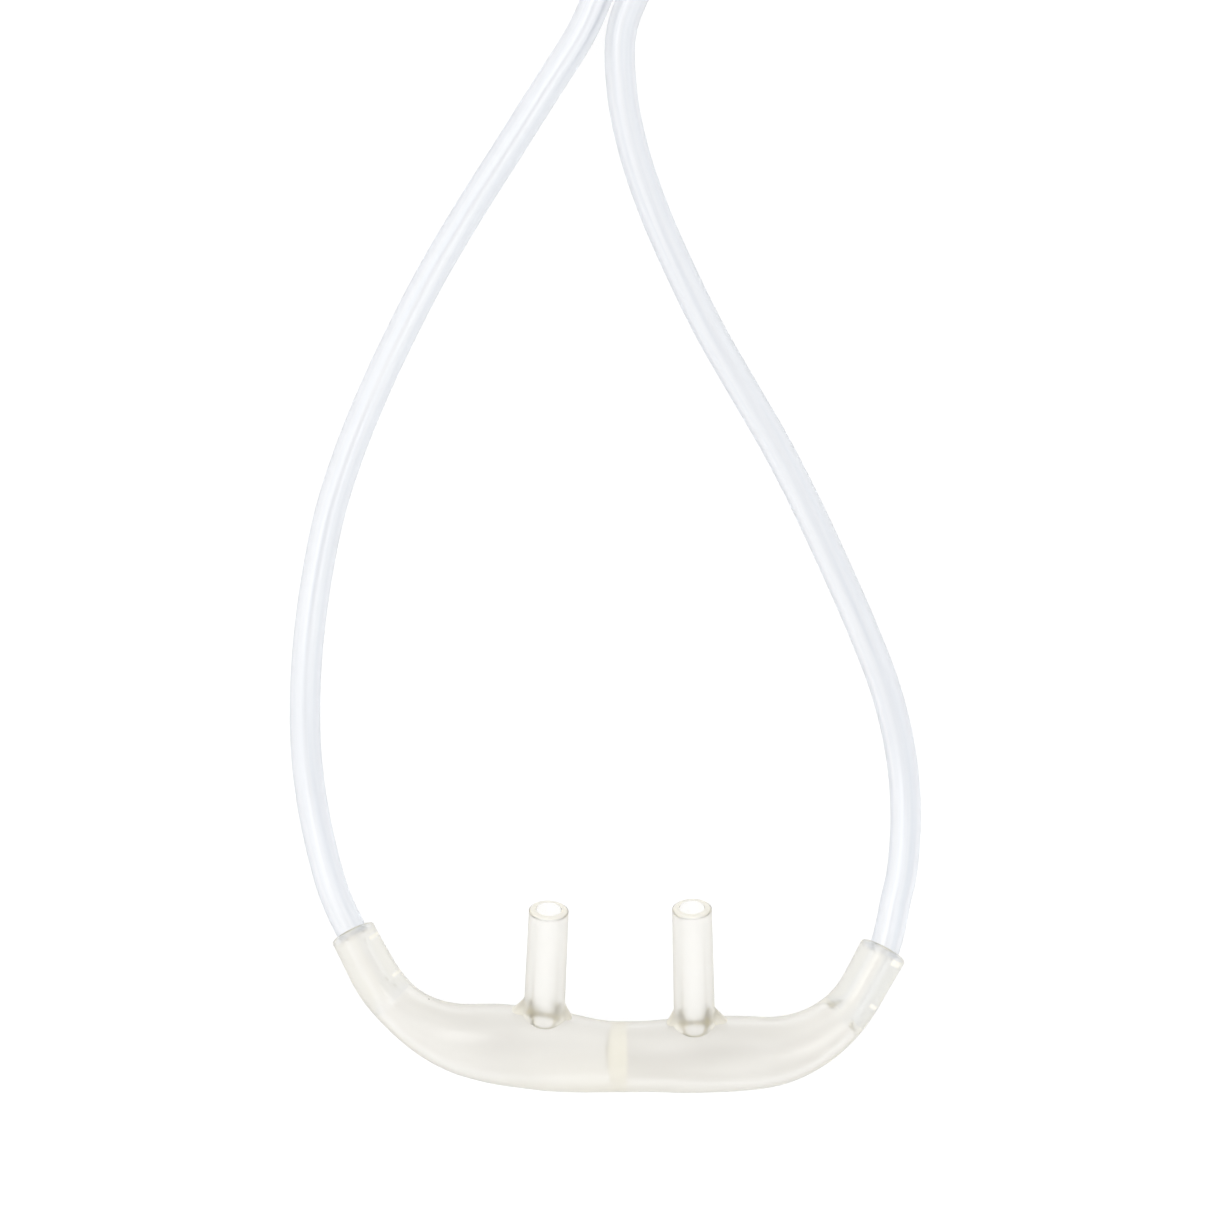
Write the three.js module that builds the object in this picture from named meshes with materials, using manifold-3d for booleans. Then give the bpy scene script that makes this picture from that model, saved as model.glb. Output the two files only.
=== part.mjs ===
// Divided nasal cannula: one prong delivers oxygen, the other draws off exhaled gas for a carbon dioxide monitor.
// Millimetres, +Z up. It lies flat on a level floor: the facepiece at the front, the two tubes looping back to a
// slider, and the rest of each tube stored in a tied coil with its connector on top.
import * as THREE from 'three';
import { mergeVertices } from 'three/addons/utils/BufferGeometryUtils.js';
import Module from 'manifold-3d';

const wasm = await Module();
wasm.setup();

// Clearances and tubing
const fitGap = 0.3;
const tubeRadius = 1.8;
const tubeSides = 8;
const tubeStep = 5;
const tubeInsertion = 9.4;
const boreRadius = tubeRadius + fitGap;

// Facepiece bar: one moulding with a solid wall in its middle that divides it into two chambers
const waistRadius = 4.15;
const waistLength = 9;
const chamberWall = 1.0;
const septumThickness = 1.85;
const barBendLength = 5;
const barSides = 20;
const chamberSides = 14;
const barStep = 1.5;
const left = {
  sign: -1,
  barSlope: 7.3,
  barLength: 17,
  elbowLength: 15.4,
  elbowTurn: 55,
  armLength: 4.9,
  waistFrom: 0,
  hubRadius: 4.77,
  armRadius: 2.87,
  endRadius: 2.68,
  taperStart: 12.6,
  taperEnd: 28.4,
  prongFrom: 9.03,
  prongReach: 17,
  prongLean: 0.86,
};
const right = {
  sign: 1,
  barSlope: 1.9,
  barLength: 16.3,
  elbowLength: 15.1,
  elbowTurn: 59,
  armLength: 5.2,
  waistFrom: 2.5,
  hubRadius: 4.46,
  armRadius: 2.75,
  endRadius: 2.84,
  taperStart: 12,
  taperEnd: 32,
  prongFrom: 9,
  prongReach: 17.85,
  prongLean: 0.55,
};

// Prongs and the small webs at their feet
const prongBaseRadius = 2.43;
const prongTipRadius = 2.3;
const prongBoreRadius = 1.4;
const prongRise = 20;
const prongTipRise = 27;
const prongSides = 16;
const prongRings = 9;
const webThickness = 1.3;
const webRise = 1.5;
const webRunOuter = 1.4;
const webRunInner = 0.7;

// Slider: an oval sleeve that runs on both tubes
const tubeSpacing = 4.0;
const sliderLength = 12;
const sliderWall = 1.0;
const sliderTravel = 15;
const sliderHeading = 24;
const sliderStart = new THREE.Vector2(1.1, 120.7);
const endMargin = 1;
const ovalPoints = 8;

// Stored coils
const turnPitch = 3.7;
const turnsAcross = 5;
const turnsHigh = 3;
const outerTurnRadius = 28.8;
const coilSegments = 32;
const coilCorner = 1.5;
const tieThickness = 0.6;
const tieWidth = 3;
const coilSpace = 0.8;
const coilBearing = 12.9;
const connectorBack = new THREE.Vector2(10, 19.5);

// Connectors
const connectorSides = 24;
const connectorBackRadius = 3.2;
const gasPathRadius = 1.1;
const connectorSocketDepth = 8;
const luerLength = 23;
const luerCollarRadius = 5;
const luerCollarBore = 3.95;
const luerCollarLength = 9;
const luerConeRadius = 2.0;
const luerConeLead = 2;
const luerConeGrowth = 0.25;
const luerBodyFlare = 3;
const luerFloor = 1.5;
const funnelLength = 30;
const funnelMouthRadius = 5.6;
const funnelBoreRadius = 3.5;
const funnelBoreTaper = 0.3;
const funnelBoreDepth = 16;
const funnelShoulder = 1.3;
const funnelShoulderLength = 3;
const funnelRim = 0.4;
const funnelRimLength = 3;
const funnelFlareLength = 5;
const funnelFloor = 1.5;

const degrees = Math.PI / 180;
const up = new THREE.Vector3(0, 0, 1);

// Materials
const finish = (name, color, roughness) => new THREE.MeshStandardMaterial({ name, color, roughness, metalness: 0 });
const clearVinyl = finish('clear_vinyl', 0xe6e4da, 0.2);
const clearTubing = finish('clear_tubing', 0xdfe4ee, 0.2);
const slideVinyl = finish('slide_vinyl', 0xe9e9e4, 0.3);
const tiePaper = finish('tie_paper', 0xf4f4f2, 0.7);
const luerPlastic = finish('luer_plastic', 0xf0f2f4, 0.3);
const funnelVinyl = finish('funnel_vinyl', 0xdde9df, 0.3);

function makeMesh(name, geometry, material) {
  const mesh = new THREE.Mesh(geometry, material);
  mesh.name = name;
  return mesh;
}

// Solids for cutting and joining

function toSolid(geometry) {
  const bare = geometry.clone();
  bare.deleteAttribute('normal');
  bare.deleteAttribute('uv');
  const merged = mergeVertices(bare, 1e-5);
  const mesh = new wasm.Mesh({
    numProp: 3,
    vertProperties: new Float32Array(merged.attributes.position.array),
    triVerts: new Uint32Array(merged.index.array),
  });
  return new wasm.Manifold(mesh);
}

function toGeometry(solid) {
  const mesh = solid.getMesh();
  const geometry = new THREE.BufferGeometry();
  geometry.setAttribute('position', new THREE.BufferAttribute(new Float32Array(mesh.vertProperties), 3));
  geometry.setIndex(new THREE.BufferAttribute(new Uint32Array(mesh.triVerts), 1));
  geometry.computeVertexNormals();
  return geometry;
}

// A closed skin over round sections. Each section has a centre, two axes at right angles and a radius.
function loft(sections, sides) {
  const positions = [];
  for (const { centre, across, rise, radius } of sections) {
    for (let k = 0; k < sides; k += 1) {
      const angle = (2 * Math.PI * k) / sides;
      const point = centre.clone();
      point.addScaledVector(across, radius * Math.cos(angle));
      point.addScaledVector(rise, radius * Math.sin(angle));
      positions.push(point.x, point.y, point.z);
    }
  }
  const first = sections[0].centre;
  const last = sections[sections.length - 1].centre;
  positions.push(first.x, first.y, first.z, last.x, last.y, last.z);
  const firstHub = sections.length * sides;
  const index = [];
  for (let ring = 0; ring < sections.length - 1; ring += 1) {
    for (let k = 0; k < sides; k += 1) {
      const next = (k + 1) % sides;
      const a = ring * sides + k;
      const b = ring * sides + next;
      index.push(a, b, b + sides, a, b + sides, a + sides);
    }
  }
  const lastRing = (sections.length - 1) * sides;
  for (let k = 0; k < sides; k += 1) {
    const next = (k + 1) % sides;
    index.push(firstHub, next, k, firstHub + 1, lastRing + k, lastRing + next);
  }
  const geometry = new THREE.BufferGeometry();
  geometry.setAttribute('position', new THREE.Float32BufferAttribute(positions, 3));
  geometry.setIndex(index);
  return geometry;
}

// Centreline of the facepiece bar, measured along it from the dividing wall

const smooth = (value, from, to) => THREE.MathUtils.smoothstep(value, from, to);
const sideLength = (side) => side.barLength + side.elbowLength + side.armLength;

function barPlace(side, distance) {
  const runs = [
    [barBendLength, side.barSlope],
    [side.barLength - barBendLength, 0],
    [side.elbowLength, side.elbowTurn],
    [side.armLength + tubeInsertion, 0],
  ];
  let x = 0;
  let y = 0;
  let heading = 0;
  let remaining = distance;
  for (const [length, turn] of runs) {
    const part = Math.min(remaining, length);
    const turned = (turn * degrees * part) / length;
    const chord = turned === 0 ? part : (2 * length * Math.sin(turned / 2)) / (turn * degrees);
    x += chord * Math.cos(heading + turned / 2);
    y += chord * Math.sin(heading + turned / 2);
    heading += turned;
    remaining -= part;
    if (remaining <= 0) break;
  }
  return { x: side.sign * x, y, heading };
}

const axisHeight = Math.max(left.hubRadius, right.hubRadius);

function barRadius(side, distance) {
  const waisted = THREE.MathUtils.lerp(waistRadius, side.hubRadius, smooth(distance, side.waistFrom, waistLength));
  const tapered = THREE.MathUtils.lerp(waisted, side.armRadius, smooth(distance, side.taperStart, side.taperEnd));
  return THREE.MathUtils.lerp(tapered, side.endRadius, smooth(distance, side.taperEnd, sideLength(side)));
}

function barSection(side, distance, radius) {
  const { x, y, heading } = barPlace(side, distance);
  return {
    centre: new THREE.Vector3(x, y, axisHeight),
    across: new THREE.Vector3(-Math.sin(heading) * side.sign, Math.cos(heading), 0),
    rise: up,
    radius,
  };
}

function stations(from, to) {
  const count = Math.ceil((to - from) / barStep);
  return Array.from({ length: count + 1 }, (_, k) => from + ((to - from) * k) / count);
}

function barSolid() {
  const leftSide = stations(barStep, sideLength(left)).reverse();
  const rightSide = stations(0, sideLength(right));
  const sections = [
    ...leftSide.map((distance) => barSection(left, distance, barRadius(left, distance))),
    ...rightSide.map((distance) => barSection(right, distance, barRadius(right, distance))),
  ];
  return toSolid(turnOut(loft(sections, barSides)));
}

// The lofts run with their sections' axes in either sense, so each is turned to face outwards.
function turnOut(geometry) {
  const position = geometry.attributes.position;
  const index = geometry.index.array;
  const corner = (k) => new THREE.Vector3().fromBufferAttribute(position, index[k]);
  let volume = 0;
  for (let k = 0; k < index.length; k += 3) {
    volume += corner(k).dot(corner(k + 1).cross(corner(k + 2)));
  }
  if (volume < 0) {
    for (let k = 0; k < index.length; k += 3) {
      [index[k], index[k + 1]] = [index[k + 1], index[k]];
    }
  }
  return geometry;
}

function chamberSolid(side) {
  const reach = sideLength(side);
  const sections = stations(septumThickness / 2, reach + barStep).map((distance) => {
    const chamber = barRadius(side, Math.min(distance, reach)) - chamberWall;
    return barSection(side, distance, Math.max(boreRadius, chamber));
  });
  return toSolid(turnOut(loft(sections, chamberSides)));
}

// Prongs

function prongCurve(side) {
  const foot = barPlace(side, side.prongFrom);
  const base = new THREE.Vector3(foot.x, foot.y, axisHeight);
  const half = side.prongReach / 2;
  const lean = (-side.sign * side.prongLean) / 2;
  const middle = base.clone().add(new THREE.Vector3(lean, half, half * Math.tan(prongRise * degrees)));
  const tip = middle.clone().add(new THREE.Vector3(lean, half, half * Math.tan(prongTipRise * degrees)));
  return new THREE.QuadraticBezierCurve3(base, middle, tip);
}

function prongSections(side, radiusAt, overrun) {
  const curve = prongCurve(side);
  const sections = [];
  for (let k = 0; k <= prongRings; k += 1) {
    const share = k / prongRings;
    const along = curve.getTangent(share);
    const across = new THREE.Vector3().crossVectors(along, up).normalize();
    const rise = new THREE.Vector3().crossVectors(across, along);
    const centre = curve.getPoint(share);
    if (k === prongRings) centre.addScaledVector(along, overrun);
    sections.push({ centre, across, rise, radius: radiusAt(share) });
  }
  return sections;
}

const prongSolid = (side) => {
  const radiusAt = (share) => THREE.MathUtils.lerp(prongBaseRadius, prongTipRadius, share);
  return toSolid(turnOut(loft(prongSections(side, radiusAt, 0), prongSides)));
};

const prongBore = (side) => {
  const sections = prongSections(side, () => prongBoreRadius, chamberWall);
  return toSolid(turnOut(loft(sections, prongSides)));
};

// A web is a flat three-cornered plate between the prong's side and the bar, sunk into both.
function webSolid(side, outward, run) {
  const foot = barPlace(side, side.prongFrom);
  const heading = foot.heading * side.sign;
  const surface = barRadius(side, side.prongFrom) / Math.cos(prongRise * degrees);
  const sink = surface - chamberWall / 2;
  const flank = prongBaseRadius - chamberWall / 2;
  const shape = new THREE.Shape([
    new THREE.Vector2(flank, sink),
    new THREE.Vector2(prongBaseRadius + (run * (surface + webRise - sink)) / webRise, sink),
    new THREE.Vector2(prongBaseRadius, surface + webRise),
    new THREE.Vector2(flank, surface + webRise),
  ]);
  const plate = new THREE.ExtrudeGeometry(shape, { depth: webThickness, bevelEnabled: false });
  plate.translate(0, 0, -webThickness / 2);
  if (outward * side.sign < 0) plate.rotateY(Math.PI);
  plate.rotateX(prongRise * degrees);
  plate.rotateZ(heading);
  plate.translate(foot.x, foot.y, axisHeight);
  return toSolid(plate);
}

function facepieceGeometry() {
  let body = barSolid();
  for (const side of [left, right]) {
    body = body.add(prongSolid(side));
    body = body.add(webSolid(side, 1, webRunOuter));
    body = body.add(webSolid(side, -1, webRunInner));
  }
  for (const side of [left, right]) {
    body = body.subtract(chamberSolid(side));
    body = body.subtract(prongBore(side));
  }
  return toGeometry(body);
}

// Places that the tubes pass, in the finished part's frame

const heading2 = new THREE.Vector2(Math.sin(sliderHeading * degrees), Math.cos(sliderHeading * degrees));
const toLeft2 = new THREE.Vector2(-heading2.y, heading2.x);
const sliderAxisHeight = fitGap + sliderWall + fitGap + tubeRadius;
const sliderHalfWidth = tubeSpacing / 2 + boreRadius + sliderWall;

function besideSlider(distance, offset) {
  const place = sliderStart.clone().addScaledVector(heading2, distance).addScaledVector(toLeft2, offset);
  return new THREE.Vector3(place.x, place.y, sliderAxisHeight);
}

// The first turn of a coil begins where a straight tube would touch it, and the free tube stops short of its face.
// The sample coil lies where the slider's corner still clears it at the end of its travel.
const coilOuterRadius = outerTurnRadius + tubeRadius;
const coilInnerRadius = outerTurnRadius - turnPitch * (turnsAcross - 1) - tubeRadius;
const coilBase = tieThickness + fitGap;
const coilTop = coilBase + 2 * tubeRadius + turnPitch * (turnsHigh - 1);
const coilTouch = Math.sqrt((coilOuterRadius + fitGap) ** 2 - (outerTurnRadius - tubeRadius) ** 2);
const coilOffset = tubeSpacing / 2 + outerTurnRadius;
const cornerReach = Math.sqrt(coilOuterRadius ** 2 - (coilOffset - sliderHalfWidth) ** 2);
const coilDistance = endMargin + sliderLength + sliderTravel + endMargin + cornerReach;
const straightRun = coilDistance - coilTouch;
const sampleCoilCentre = sliderStart
  .clone()
  .addScaledVector(heading2, coilDistance)
  .addScaledVector(toLeft2, coilOffset);
const oxygenCoilCentre = new THREE.Vector2(Math.sin(coilBearing * degrees), Math.cos(coilBearing * degrees))
  .multiplyScalar(2 * coilOuterRadius + coilSpace)
  .add(sampleCoilCentre);

function socketPoints(side, origin) {
  const reach = sideLength(side);
  return [tubeInsertion, tubeInsertion / 2, 0].map((depth) => {
    const { x, y } = barPlace(side, reach - depth);
    return new THREE.Vector3(x - origin.x, y - origin.y, axisHeight - origin.z);
  });
}

const points3 = (rows) => rows.map(([x, y, z]) => new THREE.Vector3(x, y, z));

// Routes of the two tubes from the facepiece back to the slider, chosen by hand
const sampleRoute = points3([
  [-33.1, 10.9, 4.3],
  [-34.3, 14.4, 3.7],
  [-36.0, 21.5, 2.5],
  [-36.9, 28.5, 1.9],
  [-37.0, 35.6, 1.8],
  [-36.5, 42.7, 1.8],
  [-35.5, 49.8, 1.8],
  [-34.0, 56.9, 1.8],
  [-31.7, 64.0, 1.8],
  [-28.8, 71.1, 1.8],
  [-25.5, 78.1, 1.8],
  [-21.8, 85.2, 1.8],
  [-17.6, 92.3, 1.8],
  [-13.1, 99.4, 1.8],
  [-8.6, 106.5, 2.1],
  [-4.2, 113.5, 2.7],
]);
const oxygenRoute = points3([
  [32.6, 10.9, 4.3],
  [33.4, 14.4, 3.7],
  [33.9, 21.5, 2.5],
  [33.3, 28.5, 1.9],
  [31.6, 35.6, 1.8],
  [28.9, 42.7, 1.8],
  [25.8, 49.8, 1.8],
  [22.5, 56.9, 1.8],
  [18.9, 64.0, 1.8],
  [14.8, 71.1, 1.8],
  [10.8, 78.1, 1.8],
  [7.3, 85.2, 1.8],
  [4.2, 92.3, 1.8],
  [1.8, 99.4, 1.8],
  [0.4, 106.5, 2.1],
  [0.4, 113.5, 2.7],
]);
const oxygenAfterSlider = points3([
  [24.4, 168.0, 1.9],
  [28.9, 179.0, 1.8],
  [32.2, 190.5, 1.8],
  [33.4, 201.0, 1.9],
  [33.5, 210.0, 2.2],
]);

const straightPoints = (offset) => {
  const shares = [0, 0.25, 0.5, 0.75, 1];
  return shares.map((share) => besideSlider(straightRun * share, offset));
};

function tubeGeometry(points) {
  const curve = new THREE.CatmullRomCurve3(points, false, 'centripetal');
  const corners = Array.from({ length: tubeSides }, (_, k) => {
    const angle = (2 * Math.PI * k) / tubeSides;
    return new THREE.Vector2(tubeRadius * Math.cos(angle), tubeRadius * Math.sin(angle));
  });
  const steps = Math.round(curve.getLength() / tubeStep);
  return new THREE.ExtrudeGeometry(new THREE.Shape(corners), { steps, extrudePath: curve, bevelEnabled: false });
}

// Slider

function oval(halfSpan, radius) {
  const path = new THREE.Path();
  path.absarc(halfSpan, 0, radius, -Math.PI / 2, Math.PI / 2, false);
  path.absarc(-halfSpan, 0, radius, Math.PI / 2, (3 * Math.PI) / 2, false);
  return path;
}

function sliderGeometry() {
  const outline = new THREE.Shape(oval(tubeSpacing / 2, boreRadius + sliderWall).getPoints(ovalPoints));
  outline.holes.push(new THREE.Path(oval(tubeSpacing / 2, boreRadius).getPoints(ovalPoints)));
  const sleeve = new THREE.ExtrudeGeometry(outline, { depth: sliderLength, bevelEnabled: false });
  sleeve.rotateX(-Math.PI / 2);
  sleeve.rotateZ(-sliderHeading * degrees);
  const foot = besideSlider(endMargin, 0);
  sleeve.translate(foot.x, foot.y, foot.z);
  return sleeve;
}

// Stored coils, their ties and what lies on them

function coilGeometry(centre) {
  const [inner, outer, base, top] = [coilInnerRadius, coilOuterRadius, coilBase, coilTop];
  const profile = [
    [inner + coilCorner, base],
    [outer - coilCorner, base],
    [outer, base + coilCorner],
    [outer, top - coilCorner],
    [outer - coilCorner, top],
    [inner + coilCorner, top],
    [inner, top - coilCorner],
    [inner, base + coilCorner],
    [inner + coilCorner, base],
  ].map(([radius, height]) => new THREE.Vector2(radius, height));
  const ring = new THREE.LatheGeometry(profile, coilSegments);
  ring.rotateX(Math.PI / 2);
  ring.translate(centre.x, centre.y, 0);
  return ring;
}

function tieGeometry(centre) {
  const near = coilInnerRadius - fitGap;
  const far = coilOuterRadius + fitGap;
  const low = tieThickness;
  const high = coilTop + fitGap;
  const t = tieThickness;
  const loop = (x0, x1, y0, y1) => [[x0, y0], [x1, y0], [x1, y1], [x0, y1]].map(([x, y]) => new THREE.Vector2(x, y));
  const outline = new THREE.Shape(loop(near - t, far + t, low - t, high + t));
  outline.holes.push(new THREE.Path(loop(near, far, low, high)));
  const band = new THREE.ExtrudeGeometry(outline, { depth: tieWidth, bevelEnabled: false });
  band.translate(0, 0, -tieWidth / 2);
  band.rotateX(Math.PI / 2);
  band.rotateZ(Math.PI);
  band.translate(centre.x, centre.y, 0);
  return band;
}

// The connector lies across the top of its coil and points towards -X.
function connectorGeometry(profile, centre, largestRadius) {
  const closed = [...profile, profile[0]].map(([radius, along]) => new THREE.Vector2(radius, along));
  const piece = new THREE.LatheGeometry(closed, connectorSides);
  piece.rotateZ(Math.PI / 2);
  const height = coilTop + fitGap + largestRadius;
  piece.translate(centre.x + connectorBack.x, centre.y + connectorBack.y, height);
  return piece;
}

// Each row of a profile is a radius and a distance from the back face.
function luerProfile() {
  const collarFrom = luerLength - luerCollarLength;
  return [
    [connectorBackRadius, 0],
    [connectorBackRadius, collarFrom - luerBodyFlare],
    [luerCollarRadius, collarFrom],
    [luerCollarRadius, luerLength],
    [luerCollarBore, luerLength],
    [luerCollarBore, collarFrom + luerFloor],
    [luerConeRadius + luerConeGrowth, collarFrom + luerFloor],
    [luerConeRadius, luerLength + luerConeLead],
    [gasPathRadius, luerLength + luerConeLead],
    [gasPathRadius, connectorSocketDepth],
    [boreRadius, connectorSocketDepth],
    [boreRadius, 0],
  ];
}

function funnelProfile() {
  const boreEnd = funnelLength - funnelBoreDepth;
  return [
    [connectorBackRadius, 0],
    [connectorBackRadius, connectorSocketDepth],
    [connectorBackRadius + funnelShoulder, connectorSocketDepth + funnelShoulderLength],
    [funnelMouthRadius - funnelRim, funnelLength - funnelRimLength - funnelFlareLength],
    [funnelMouthRadius, funnelLength - funnelRimLength],
    [funnelMouthRadius, funnelLength],
    [funnelBoreRadius, funnelLength],
    [funnelBoreRadius - funnelBoreTaper, boreEnd],
    [gasPathRadius, boreEnd - funnelFloor],
    [gasPathRadius, connectorSocketDepth],
    [boreRadius, connectorSocketDepth],
    [boreRadius, 0],
  ];
}

// The last of each tube rises out of its coil, lies across the turns and enters the connector.
function tubeEndGeometry(centre, largestRadius) {
  const lying = coilTop + fitGap + tubeRadius;
  const height = coilTop + fitGap + largestRadius;
  const inside = connectorSocketDepth - 2 * fitGap;
  const rows = [
    [12.0, -12.8, lying],
    [20.0, -7.6, lying],
    [24.4, 0.4, lying],
    [23.4, 9.4, THREE.MathUtils.lerp(lying, height, 0.2)],
    [18.0, 16.6, THREE.MathUtils.lerp(lying, height, 0.75)],
    [connectorBack.x, connectorBack.y, height],
    [connectorBack.x - inside, connectorBack.y, height],
  ];
  return tubeGeometry(points3(rows.map(([x, y, z]) => [centre.x + x, centre.y + y, z])));
}

// Assembly: the facepiece is centred on the origin and stands on the floor
const facepieceShape = facepieceGeometry();
facepieceShape.computeBoundingBox();
const bounds = facepieceShape.boundingBox;
const origin = bounds.getCenter(new THREE.Vector3()).setZ(bounds.min.z);
facepieceShape.translate(-origin.x, -origin.y, -origin.z);

const sampleLead = [...socketPoints(left, origin), ...sampleRoute, ...straightPoints(tubeSpacing / 2)];
const oxygenLead = [
  ...socketPoints(right, origin),
  ...oxygenRoute,
  ...straightPoints(-tubeSpacing / 2),
  ...oxygenAfterSlider,
  new THREE.Vector3(
    oxygenCoilCentre.x + outerTurnRadius,
    oxygenCoilCentre.y - coilTouch,
    coilBase + tubeRadius,
  ),
];

const cannula = new THREE.Group();
cannula.name = 'nasal_cannula';
cannula.add(makeMesh('facepiece', facepieceShape, clearVinyl));
cannula.add(makeMesh('sample_tube', tubeGeometry(sampleLead), clearTubing));
cannula.add(makeMesh('oxygen_tube', tubeGeometry(oxygenLead), clearTubing));
cannula.add(makeMesh('slider', sliderGeometry(), slideVinyl));
for (const [line, centre, profile, radius, material] of [
  ['sample', sampleCoilCentre, luerProfile(), luerCollarRadius, luerPlastic],
  ['oxygen', oxygenCoilCentre, funnelProfile(), funnelMouthRadius, funnelVinyl],
]) {
  cannula.add(makeMesh(`${line}_coil`, coilGeometry(centre), clearTubing));
  cannula.add(makeMesh(`${line}_coil_tie`, tieGeometry(centre), tiePaper));
  cannula.add(makeMesh(`${line}_tube_end`, tubeEndGeometry(centre, radius), clearTubing));
  cannula.add(makeMesh(`${line}_connector`, connectorGeometry(profile, centre, radius), material));
}

export default cannula;
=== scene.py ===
"""Blender scene of a divided nasal cannula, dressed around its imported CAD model.

Sizes in the classes are millimetres and degrees, as a maker would give them. They turn into metres where a mesh,
light or camera is made.
"""

import sys

import logging
import math
from collections.abc import Callable, Mapping, Sequence
from dataclasses import dataclass, field
from enum import Enum
from typing import Any, ClassVar, Union

import bpy
import numpy as np
from mathutils import Matrix


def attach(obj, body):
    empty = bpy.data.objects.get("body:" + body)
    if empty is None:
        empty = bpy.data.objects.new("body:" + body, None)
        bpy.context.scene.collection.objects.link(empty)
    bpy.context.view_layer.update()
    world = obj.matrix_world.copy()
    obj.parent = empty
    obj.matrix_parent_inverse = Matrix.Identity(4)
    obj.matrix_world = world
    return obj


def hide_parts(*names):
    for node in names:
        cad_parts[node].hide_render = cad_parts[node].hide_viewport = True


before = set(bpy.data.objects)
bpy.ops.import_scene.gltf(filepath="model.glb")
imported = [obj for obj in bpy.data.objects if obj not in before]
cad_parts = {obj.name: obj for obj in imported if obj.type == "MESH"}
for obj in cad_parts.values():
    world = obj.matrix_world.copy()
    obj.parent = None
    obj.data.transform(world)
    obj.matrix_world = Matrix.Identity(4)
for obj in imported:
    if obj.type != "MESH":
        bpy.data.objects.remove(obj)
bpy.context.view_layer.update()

logging.basicConfig(level=logging.INFO, stream=sys.stdout, format="%(name)s: %(message)s")
LOG = logging.getLogger("cannula")

MM = 0.001
UP = np.array([0.0, 0.0, 1.0])
Rings = list[np.ndarray]
Colour = tuple[float, float, float]


class Body(Enum):
    """The bodies of the CAD model that a piece can ride on."""

    CANNULA = "cannula"
    SLIDER = "slider"


class Slot(Enum):
    """The record's material slots."""

    VINYL = "clear_vinyl"
    TUBING = "clear_tubing"
    SLIDE = "slide_vinyl"
    PAPER = "tie_paper"
    LUER = "luer_plastic"
    FUNNEL = "funnel_vinyl"


class Patch(Enum):
    """Which surface of the facepiece a face belongs to."""

    SKIN = 0
    CHAMBER = 1
    SOCKET = 2
    PRONG = 3
    TIP = 4
    BORE = 5
    ARM = 6


# Shader bench


class Wire:
    """A node's output, for shader maths written as Python expressions."""

    def __init__(self, bench: "Bench", socket: bpy.types.NodeSocket) -> None:
        """Keeps the bench that the node stands on and its output."""
        self.bench = bench
        self.socket = socket

    def _math(self, operation: str, first: "Term", second: "Term" = 0.0) -> "Wire":
        """Adds one Math node."""
        return self.bench.node("ShaderNodeMath", {"operation": operation}, {0: first, 1: second})

    def __add__(self, other: "Term") -> "Wire":
        """Adds a number or another wire."""
        return self._math("ADD", self, other)

    def __radd__(self, other: "Term") -> "Wire":
        """Is added to a number."""
        return self._math("ADD", other, self)

    def __sub__(self, other: "Term") -> "Wire":
        """Takes away a number or another wire."""
        return self._math("SUBTRACT", self, other)

    def __rsub__(self, other: "Term") -> "Wire":
        """Is taken away from a number."""
        return self._math("SUBTRACT", other, self)

    def __mul__(self, other: "Term") -> "Wire":
        """Multiplies by a number or another wire."""
        return self._math("MULTIPLY", self, other)

    def __rmul__(self, other: "Term") -> "Wire":
        """Multiplies a number."""
        return self._math("MULTIPLY", other, self)

    def above(self, level: float) -> "Wire":
        """Gives 1 where the value is over a level, and 0 elsewhere."""
        return self._math("GREATER_THAN", self, level)

    def below(self, level: float) -> "Wire":
        """Gives 1 where the value is under a level, and 0 elsewhere."""
        return self._math("LESS_THAN", self, level)

    def spread(self, low: float, high: float) -> "Wire":
        """Turns a value between 0 and 1 into one between low and high."""
        return self * (high - low) + low


Term = Union[Wire, float]


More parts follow.
